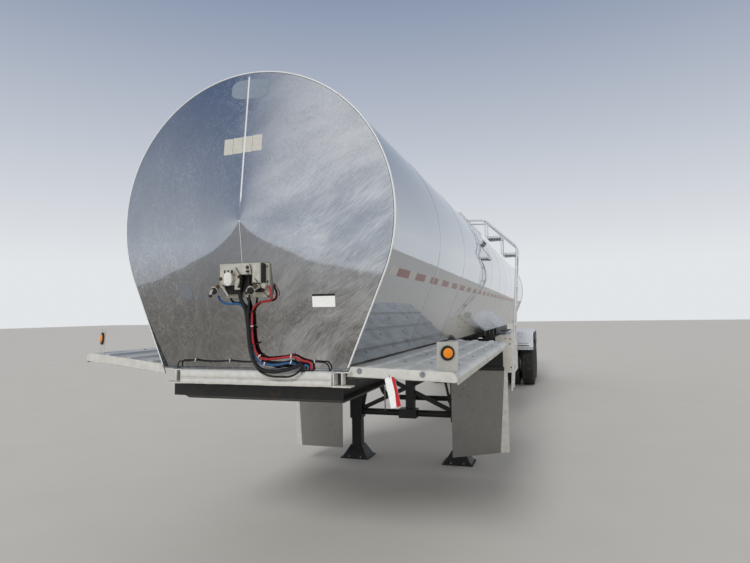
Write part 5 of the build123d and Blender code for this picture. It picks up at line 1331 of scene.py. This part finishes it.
# %% Reflective tape along both flanks
tape_low, tape_high, tape_lift = 1935.0, 1982.0, 0.7
red_length, pattern_length, tape_start = 279, 457, 230
tape_end, band_gap, cut = 60, 24, 0.8
shapes = {"red_tape": bmesh.new(), "white_tape": bmesh.new()}
for side in (-1, 1):
    edge = float(tape_end)
    while edge < barrel_end - tape_end:
        phase = (edge - tape_start) % pattern_length
        red = phase < red_length
        stop = min(edge + (red_length if red else pattern_length) - phase, barrel_end - tape_end)
        for station in band_stations:
            if edge < station - band_gap < stop:
                stop = station - band_gap
        strip = shapes["red_tape" if red else "white_tape"]
        loops = []
        for distance in (edge, stop):
            loop = []
            for lift, order in ((tape_lift, range(4)), (-0.5, reversed(range(4)))):
                for step in order:
                    z = tape_low + (tape_high - tape_low) * step / 3
                    x, facing = flank_place(z, side)
                    loop.append(strip.verts.new(at(x, distance, z) + facing * lift * MM))
            loops.append(loop)
        bridge(strip, loops, capped=True)
        at_band = any(abs(stop + band_gap - station) < 1 for station in band_stations)
        edge = stop + (2 * band_gap if at_band else cut)
for finish, strip in shapes.items():
    make_piece("flank_" + finish, strip, finish, smooth=60)

# %% [markdown]
# ## Marker lamps
#
# Each lamp is a round amber moulding pressed into a black rubber grommet. Rings moulded inside
# the lens spread the light, so the lens is turned from a stepped profile, with six small ribs
# round its middle.

# %% Marker lamps on their plates
lamp_out, lamp_station, lamp_rise = 1148, 48, 98
grommet = [(26.5, 0), (40.5, 0), (40.5, 4), (38.5, 8.5), (34.5, 10), (30.5, 9.5), (27.5, 7.5), (26.5, 6)]
lens_profile = [
    (0, 16.4), (5, 16.4), (6, 14), (11, 14), (12, 16), (16, 15.6), (17.2, 12.8), (20.4, 12.6),
    (21.4, 14.6), (24, 13.6), (27.2, 10.5), (27.6, 8), (27.6, 0.5), (0, 0.5),
]
grommets, lenses, ribs = bmesh.new(), bmesh.new(), []
for side, tilt, _ in deck_rows:
    lean, turn = radians(tilt), radians(35)
    outward = Vector((side * cos(lean), 0, sin(lean)))
    upward = Vector((-side * sin(lean), 0, cos(lean)))
    facing = outward * sin(turn) - Y_AXIS * cos(turn)
    foot = at(side * deck_inner, lamp_station, deck_low)
    foot += (outward * (lamp_out - deck_inner) / cos(lean) + upward * 22) * MM
    seat = foot + (upward * lamp_rise + facing * 3) * MM
    place = facing_matrix(seat, facing, upward)
    closed_lathe(grommets, grommet, place, 44)
    lathe(lenses, lens_profile, place, 44)
    for spoke in ways_round(6, place.to_3x3() @ X_AXIS, place.to_3x3() @ Y_AXIS):
        ribs.append((seat + (spoke * 9.5 + facing * 15.4) * MM, facing, spoke))
piece = make_piece("lamp_grommets", grommets, "black_plastic")
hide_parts("marker_lamps")
piece = make_piece("lamp_lenses", lenses, "amber_lens", smooth=25)
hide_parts("marker_lamps")
grow("lamp_ribs", ribs, slab_tree, {"Length": 7, "Width": 1.6, "Height": 2}, "amber_lens")

# %% [markdown]
# ## Mud panels
#
# Each panel hangs below its deck from a black plate, which is sized to fill the deep shade under
# the deck, so it is partly painted shade. Its outer edge is folded back along a slanting line into
# a wing that widens downwards and catches the light; the wing's brighter finish is painted light,
# and the sheet's darker finish painted shade. The sheet has three screws and small empty holes
# from earlier fittings, drawn as black discs of painted shade.

# %% Panels, bent wings and hangers
sheet, wing, dark = bmesh.new(), bmesh.new(), bmesh.new()
panel_station, panel_top, panel_inner, wing_back = 3080, 1140, 624, 34
top_out, fold_out, wing_out, hanger_out = 1186, 1129, 1216, 1176
for (side, tilt, _), (inner_foot, outer_foot) in zip(deck_rows, ((208, 208), (173, 254))):
    fold_low, fold_high = (side * fold_out, outer_foot), (side * top_out, panel_top - 46)
    outline = [(side * panel_inner, inner_foot), fold_low, fold_high]
    outline += [(side * top_out, panel_top), (side * panel_inner, panel_top)]
    plate(sheet, outline, 4, facing_front(0, panel_station + 4, 0))
    spots = []
    for back in (0, 4):
        front, rear = panel_station + back, panel_station + wing_back + back
        spots += [at(fold_low[0], front, fold_low[1]), at(side * wing_out, rear, outer_foot + 3)]
        spots += [at(side * wing_out, rear, panel_top - 50), at(fold_high[0], front, fold_high[1])]
    verts = [wing.verts.new(spot) for spot in spots]
    for face in ((0, 1, 2, 3), (4, 7, 6, 5), (0, 4, 5, 1), (3, 2, 6, 7), (1, 5, 6, 2), (0, 3, 7, 4)):
        wing.faces.new([verts[index] for index in face])
    # The black hanger plate and the black bar over the panel's top fill the deep shade under the deck: partly
    # painted shade.
    inner, outer, low, high = side * panel_inner, side * hanger_out, panel_top - 30, deck_low - 21
    slant = (hanger_out - panel_inner) * sin(radians(tilt))
    outline = [(inner, low), (outer, low), (outer, high + slant), (inner, high)]
    plate(dark, outline, 6, facing_front(0, panel_station + 12, 0))
    block(dark, (560, 8, 40), standing(side * 905, panel_station - 4, panel_top - 20), 1)
for name, shape, finish in (
    ("mud_sheets", sheet, "drawn_sheet_painted_shade"),
    # The wing's brighter finish is painted light, and the sheet's darker one painted shade.
    ("mud_wings", wing, "worn_aluminium"),
    ("mud_hangers_and_painted_shade", dark, "black_enamel"),
):
    piece = make_piece(name, shape, finish)
    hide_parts("mud_panels")

# %% Panel screws and empty holes
panel_face = panel_station - 0.2
screw_places = [(x, 945) for x in (769, 947, 1112)]
hole_places = ((745, 900), (628, 785), (712, 820), (800, 826), (770, 457), (660, 411), (850, 690))
spots, holes = [], []
for side in (-1, 1):
    spots += [(at(side * x, panel_face, z), -Y_AXIS, X_AXIS) for x, z in screw_places]
    holes += [(at(side * x, panel_face, z), -Y_AXIS, X_AXIS) for x, z in hole_places]
sizes = {"Foot Radius": 8, "Top Radius": 5.5, "Height": 5}
grow("panel_screws", spots, button_tree, sizes, "bright_aluminium")
# Each empty hole is a black disc: painted shade.
sizes = {"Foot Radius": 5, "Top Radius": 5, "Height": 0.9}
grow("painted_shade_hole_discs", holes, button_tree, sizes, "black_plastic")

# %% [markdown]
# ## Tyres and wheels
#
# A trailer tyre has a ribbed tread, because it only has to roll straight: four round grooves,
# and shallow lugs down each shoulder. Tread and walls are one profile turned about the axle, and
# the lugs are the same small block repeated round each shoulder.

# %% Tyres
half_section = [
    # distance from the tyre's middle plane, radius
    (110, 273), (113, 284), (113.6, 297), (121, 303), (131, 326), (133.2, 329), (136.4, 350), (137, 352.5),
    (139, 380), (139.4, 405), (137.6, 436), (136.2, 438.5), (133.6, 456), (127, 478), (121, 489),
    (115.5, 496), (108, 506.4), (104, 508), (76, 510), (74.5, 499), (67.5, 499), (66, 510.4),
    (33, 511.6), (31.5, 500), (24.5, 500), (23, 511.9),
]
tyre_section = [(radius, along) for along, radius in half_section]
tyre_section += [(radius, -along) for along, radius in reversed(half_section)]
front_axle, rear_axle = 10900, 12145
wheel_rows = (
    ("front_left", -1, front_axle), ("front_right", 1, front_axle),
    ("rear_left", -1, rear_axle), ("rear_right", 1, rear_axle),
)
axle_z, dual_x, dual_half = 512.0, 914.5, 165.0
for place_name, side, station in wheel_rows:
    shape, lugs = bmesh.new(), []
    for x in (dual_x - dual_half, dual_x + dual_half):
        hub = at(side * x, station, axle_z)
        closed_lathe(shape, tyre_section, facing_matrix(hub, X_AXIS * side), 96)
        for out in ways_round(72, Y_AXIS, Z_AXIS):
            for edge in (-X_AXIS, X_AXIS):
                facing = (out * 0.83 + edge * 0.56).normalized()
                lugs.append((hub + (out * 496.5 + edge * 114.5) * MM, facing, X_AXIS.cross(out)))
    body = "wheels_" + place_name
    piece = make_piece("ribbed_tyres_" + place_name, shape, "tyre_rubber", body, 40)
    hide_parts("tyres_" + place_name)
    sizes = {"Length": 26, "Width": 17, "Height": 9}
    grow("shoulder_lugs_" + place_name, lugs, slab_tree, sizes, "tyre_rubber", body)

# %% Wheel nuts, hub caps and valves
nut_sizes = {"Head Radius": 18.5, "Head Height": 22, "Washer Radius": 23, "Washer Height": 4}
screw_sizes = {"Head Radius": 6.5, "Head Height": 4.5, "Washer Radius": 8, "Washer Height": 1}
for place_name, side, station in wheel_rows:
    body, axis = "wheels_" + place_name, X_AXIS * side
    middle = at(side * dual_x, station, axle_z)
    nuts = [(middle + (axis * 12.2 + out * 142.9) * MM, axis, out) for out in ways_round(10, Y_AXIS, Z_AXIS)]
    grow("wheel_nuts_" + place_name, nuts, bolt_tree, nut_sizes, "zinc_plate", body)
    screws = [(middle + (axis * 140 + out * 76) * MM, axis, out) for out in ways_round(6, Y_AXIS, Z_AXIS)]
    grow("hub_screws_" + place_name, screws, bolt_tree, screw_sizes, "zinc_plate", body)
    cap = facing_matrix(middle + axis * 182 * MM, axis)
    shape = bmesh.new()
    closed_lathe(shape, [(26, -1), (40, -1), (40, 3), (36, 6), (29, 6), (26, 3)], cap, 32)
    lathe(shape, [(0, 8), (7, 8), (9, 6), (9, 0), (0, 0)], cap, 16)
    closed_lathe(shape, [(62, -26), (69.5, -26), (70.5, -22), (69.5, -18), (62, -18)], cap, 40)
    make_piece("hub_cap_rings_" + place_name, shape, "bright_aluminium", body)
    shape = bmesh.new()
    lathe(shape, [(0, 1.6), (26, 1.6), (26, 0), (0, 0)], cap, 32)
    make_piece("hub_window_" + place_name, shape, "hub_window", body)
    stems, caps = bmesh.new(), bmesh.new()
    for reach, drop in ((25, 0.9), (104, -2.2)):
        out = Vector((0, cos(drop), sin(drop)))
        foot = middle + (axis * reach + out * 214) * MM
        tip = foot + (axis * 74 + out * 14) * MM
        rod(stems, [foot, foot + axis * 30 * MM, tip], 4, 8)
        lathe(caps, [(0, -2), (6, -2), (6.5, 12), (5, 17), (0, 18)], facing_matrix(tip, tip - foot), 12)
    make_piece("valve_stems_" + place_name, stems, "brass", body)
    make_piece("valve_caps_" + place_name, caps, "yellow_plastic", body)

# %% [markdown]
# ## Undercarriage fasteners
#
# The landing gear, the suspension and the bumper are bolted through their plates. The bolts are
# one tree on a table of places. A short chain hangs on the front of the landing gear: alternate
# links stand square to each other, as in any chain.

# %% Bolts under the trailer
leg_front, leg_rear, hanger_lead = 3520, 3600, 600
spots = []
for side in (-1, 1):
    inward, outward = -X_AXIS * side, X_AXIS * side
    for z in (1150, 1210, 1270, 1330):
        spots += [(at(side * 537, station, z), inward, Z_AXIS) for station in (leg_front, leg_rear)]
    for axle in (front_axle, rear_axle):
        for x, way in ((470, outward), (380, inward)):
            spots.append((at(side * x, axle - hanger_lead, 830), way, Z_AXIS))
    for x in (540, 684):
        spots += [(at(side * x, station, 14), Z_AXIS, X_AXIS) for station in (leg_front - 75, leg_rear + 75)]
sizes = {"Head Radius": 15, "Head Height": 10, "Washer Radius": 20, "Washer Height": 3}
grow("undercarriage_bolts", spots, bolt_tree, sizes, "zinc_plate")

# %% Chain at the landing gear
links = [(at(-238, 3478, 840 - 21 * index), X_AXIS if index % 2 else Y_AXIS, Z_AXIS) for index in range(13)]
grow("hanging_chain", links, ring_tree, {"Ring Radius": 8, "Bar Radius": 3, "Stretch": 6}, "zinc_plate")

# %% [markdown]
# ## Walkway, manhole and vents
#
# The walkway is tread plate: low bars, alternately turned, rolled into the sheet so that a boot
# grips in any direction. A folded side box widens it on each side, and a plate closes each end
# down to the barrel. The manhole lid is held by six swing bolts with wing nuts. The two relief
# vents have a wire screen round their necks.

# %% Tread bars, side boxes and end plates of the walkway
manhole_station, vent_station, vent_x = 6720, 5620, 150
walkway_start, walkway_end, walkway_top = 5200, 7600, 3187.0
treads = []
for row in range(62):
    for column in range(17):
        x, station = -304 + 38 * column, walkway_start + 21 + 38.5 * row
        clear_of_manhole = hypot(x, station - manhole_station) > 326
        clear_of_vents = hypot(abs(x) - vent_x, station - vent_station) > 86
        if clear_of_manhole and clear_of_vents:
            lean = 1 if (row + column) % 2 else -1
            treads.append((at(x, station, walkway_top + 0.5), Z_AXIS, X_AXIS + Y_AXIS * lean))
inner, outer, low, high = 390, 445, 3050, 3178
shape = bmesh.new()
for side in (-1, 1):
    outline = [(side * x, z) for x, z in ((inner, high), (outer, high), (outer, low), (inner, low + 26))]
    plate(shape, outline, walkway_end - walkway_start, facing_front(0, walkway_end, 0))
make_piece("walkway_side_boxes", shape, "bright_aluminium", smooth=30)
shape = bmesh.new()
across = [outer - 2 * outer * index / 24 for index in range(25)]
outline = [(-outer, high), (outer, high)] + [(x, barrel_z + sqrt(barrel_radius**2 - x**2)) for x in across]
for station in (walkway_start, walkway_end + 5):
    plate(shape, outline, 5, facing_front(0, station, 0))
make_piece("walkway_end_plates", shape, "worn_aluminium", smooth=30)
grow("tread_bars", treads, slab_tree, {"Length": 27, "Width": 6, "Height": 2.2}, "bright_aluminium")

# %% Swing bolts of the manhole
wings, lid_lugs, gasket = bmesh.new(), bmesh.new(), bmesh.new()
nut = [(0, 0), (11, 0), (11, 3), (8, 4), (8, 14), (5, 16), (5, 26), (0, 27)]
for out in ways_round(6, X_AXIS, Y_AXIS, 0.5):
    across = Z_AXIS.cross(out)
    seat = at(0, manhole_station, 3293) + out * 258 * MM
    block(lid_lugs, (34, 22, 12), facing_matrix(seat - Z_AXIS * 7 * MM, Z_AXIS, out), 2)
    lathe(wings, nut, Matrix.Translation(seat), 14)
    for way in (-across, across):
        elbow, tip = seat + (way * 15 + Z_AXIS * 15) * MM, seat + (way * 27 + Z_AXIS * 24) * MM
        rod(wings, [seat + Z_AXIS * 9 * MM, elbow, tip], 4.2, 8)
make_piece("lid_lugs", lid_lugs, "cast_aluminium", "lid")
make_piece("wing_nuts", wings, "valve_stainless", "lid")
closed_lathe(gasket, rectangle(236, 262, -3, 0.2, 1), standing(0, manhole_station, 3281), 72)
make_piece("lid_gasket", gasket, "black_plastic", "lid")

# %% Vent screens
shape, screens = bmesh.new(), []
for side in (-1, 1):
    for z in (3192, 3199, 3206, 3213):
        place = standing(side * vent_x, vent_station, z)
        closed_lathe(shape, rectangle(52, 54.6, -1.2, 1.2, 1), place, 36)
    middle = at(side * vent_x, vent_station, 3202)
    screens += [(middle + out * 54 * MM, out, Z_AXIS) for out in ways_round(24, X_AXIS, Y_AXIS)]
make_piece("vent_rings", shape, "zinc_plate")
grow("vent_bars", screens, slab_tree, {"Length": 24, "Width": 2, "Height": 2}, "zinc_plate")

# %% [markdown]
# ## Ladder, cabinet and fenders
#
# Each ladder rail is one tube, straight but for its bends, so its path is the corners with a short
# curve at each. The two steps over the shoulder are folded trays, each hung from a riser. The
# cabinet hangs on two black beams, and the ladder's foot is held to its front. Its front steps up
# at the outside. The fenders have slots, drawn as black strips of painted shade, a bright lower
# strip, and a marker lamp at the lower inner corner.


# %% Ladder rails, risers and brackets
def bent_path(corners, reach, parts=5):
    """The corners of a bent tube, each rounded over reach millimetres."""
    spots = [corners[0]]
    for before, corner, after in zip(corners, corners[1:], corners[2:]):
        start = corner + (before - corner).normalized() * reach * MM
        end = corner + (after - corner).normalized() * reach * MM
        for part in range(parts + 1):
            t = part / parts
            spots.append(start * (1 - t) ** 2 + corner * 2 * t * (1 - t) + end * t**2)
    return spots + [corners[-1]]


first_rail, second_rail = 5905, 6295
foot_x, foot_z, shoulder_x, shoulder_z = 1050, 512, 1180, 2712
rail_lean = (shoulder_x - foot_x) / (shoulder_z - foot_z)
rail_path = ((foot_x, foot_z), (shoulder_x, shoulder_z), (703, 3152), (395, 3166))
riser_paths = (((702, 3146), (711, 2905), (736, 2884)), ((949, 2920), (948, 2606), (990, 2588)))
shape = bmesh.new()
for rail, inset in ((first_rail, 14), (second_rail, -14)):
    rod(shape, bent_path([at(x, rail, z) for x, z in rail_path], 52), 14, 14, 1)
    for path in riser_paths:
        rod(shape, bent_path([at(x, rail + inset, z) for x, z in path], 16, 3), 8, 10, 1)
for z in (1300, 820):
    rod(shape, [at(foot_x + (z - foot_z) * rail_lean, second_rail, z), at(1052, 6385, z)], 10, 10, 1)
piece = make_piece("ladder_rails", shape, "polished_tube", smooth=50)
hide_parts("ladder")
rung_heights = [610 + 300 * index for index in range(7)]
rungs = [(at(foot_x + (z - foot_z) * rail_lean, first_rail + 2, z), Y_AXIS, Z_AXIS) for z in rung_heights]
sizes = {"Foot Radius": 12, "Top Radius": 12, "Height": 386}
piece = grow("ladder_rungs", rungs, button_tree, sizes, "polished_tube", smooth=50)
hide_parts("ladder")

# %% Ladder steps
ladder_middle = (first_rail + second_rail) / 2
shape = bmesh.new()
for inner, outer, top in ((728, 944, 2900), (980, 1172, 2629)):
    middle, width = (inner + outer) / 2, outer - inner
    block(shape, (width, 386, 4), standing(middle, ladder_middle, top - 2), 1)
    for station in (first_rail, second_rail):
        block(shape, (width, 5, 40), standing(middle, station, top - 20), 1)
    for x in (inner + 3, outer - 3):
        block(shape, (5, 386, 34), standing(x, ladder_middle, top - 18), 1)
piece = make_piece("ladder_steps", shape, "bright_aluminium")
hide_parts("ladder")

# %% Cabinet body, beams, latch and bolts
cabinet_front, cabinet_back, cabinet_in, cabinet_out = 6380, 7160, 770, 1062
shape = bmesh.new()
outline = [(cabinet_in, 735), (cabinet_out, 735), (cabinet_out, 1393), (1043, 1393), (988, 1319)]
outline.append((cabinet_in, 1312))
plate(shape, outline, cabinet_back - cabinet_front, facing_front(0, cabinet_back, 0))
ease_edges(shape, shape.edges[:], 3)
piece = make_piece("cabinet_body", shape, "cream_enamel", smooth=40)
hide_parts("side_cabinet")
shape = bmesh.new()
for station in (cabinet_front + 60, cabinet_back - 60):
    block(shape, (230, 70, 72), standing(675, station, 1290), 3)
    block(shape, (44, 70, 120), standing(582, station, 1350), 3)
piece = make_piece("cabinet_beams", shape, "black_enamel")
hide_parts("side_cabinet")
shape = bmesh.new()
latch = facing_matrix(at(1068.2, cabinet_back - 80, 1070), X_AXIS)
closed_lathe(shape, [(24, 0), (34, 0), (34, 2.5), (31, 4), (25, 3.5), (24, 2)], latch, 28)
block(shape, (44, 12, 5), latch @ Matrix.Translation(Z_AXIS * 2.5 * MM), 1.5)
make_piece("door_latch", shape, "zinc_plate", "door")
bolt_places = ((932, 1283), (1004, 1275), (1001, 1194), (943, 1165), (1010, 820), (800, 820))
spots = [(at(x, cabinet_front, z), -Y_AXIS, X_AXIS) for x, z in bolt_places]
sizes = {"Head Radius": 8, "Head Height": 6, "Washer Radius": 11, "Washer Height": 2}
grow("cabinet_bolts", spots, bolt_tree, sizes, "black_plastic")

# %% Fender slots, bright lower strips and marker lamps
fender_station, fender_foot, fender_run, fender_rise = front_axle - 600, 903, 90, 346
slope = Vector((0, fender_run, fender_rise)).normalized()
out = Vector((0, -fender_rise, fender_run)).normalized()
dark, bright, glass = bmesh.new(), bmesh.new(), bmesh.new()
for side in (-1, 1):
    # The two black strips stand for the slots: painted shade.
    for shape, inner, outer, height, tall, proud in (
        (dark, 850, 1110, 990, 7, 1),
        (dark, 868, 1124, 940, 17, 1.5),
        (bright, 868, 1196, 914, 22, 5),
    ):
        station = fender_station + fender_run * (height - fender_foot) / fender_rise - 4
        middle = at(side * (inner + outer) / 2, station, height) + out * proud / 2 * MM
        block(shape, (outer - inner, tall, proud), facing_matrix(middle, out, slope), 0.4)
    block(glass, (46, 34, 20), facing_front(side * 842, fender_station - 8, 912), 5)
make_piece("fender_slots_painted_shade", dark, "black_plastic")
make_piece("fender_strips", bright, "worn_aluminium")
make_piece("fender_lamps", glass, "amber_lens")

# %% [markdown]
# ## Rear end
#
# The photograph doesn't show the rear, so it has only what such a trailer carries: a lever on the
# outlet valve, a chain for its cap, and grommets and lens rings on the six lamps.

# %% Rear lamp grommets and lens rings
lamp_face, lamp_z, trailer_half = 12988, 900, 1219
grommets, rings = bmesh.new(), bmesh.new()
for side in (-1, 1):
    for inset in (239, 379, 519):
        face = facing_matrix(at(side * (trailer_half - inset), lamp_face, lamp_z), Y_AXIS)
        closed_lathe(grommets, [(44, -21), (57, -21), (57, -12), (53, -4), (46, -3.5), (44, -6)], face, 36)
        closed_lathe(rings, [(30, -1), (34, -1), (33, 2.4), (31, 2.4)], face, 36)
        closed_lathe(rings, [(14, -1), (18, -1), (17, 3), (15, 3)], face, 28)
make_piece("rear_lamp_grommets", grommets, "black_plastic")
make_piece("rear_lamp_rings", rings, "red_lens")

# %% Valve lever and the chain of the cap
shape = bmesh.new()
seat = at(0, 12846, 1612)
lathe(shape, [(0, -4), (20, -4), (20, 6), (15, 10), (15, 22), (0, 24)], Matrix.Translation(seat), 20)
for spots, radius, sides in (
    (((0, 17), (70, 22), (165, 34)), 8, 10),
    (((150, 33), (205, 36)), 12, 12),
):
    rod(shape, [seat + (X_AXIS * x + Z_AXIS * z) * MM for x, z in spots], radius, sides)
make_piece("valve_lever", shape, "valve_stainless")
links = []
for index in range(11):
    turn = pi * index / 10
    spot = at(62 - index * 2, 12862 + index * 11, 1478 - 46 * sin(turn))
    links.append((spot, X_AXIS if index % 2 else Y_AXIS, Vector((0, 1, -cos(turn) * 1.3))))
grow("cap_chain", links, ring_tree, {"Ring Radius": 4.6, "Bar Radius": 1.6, "Stretch": 3}, "valve_stainless")

# %% Measure and finish
sizes = {"cad": [list(cad_low), list(cad_high)], "visual": [list(corner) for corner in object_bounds()]}
print(sizes)
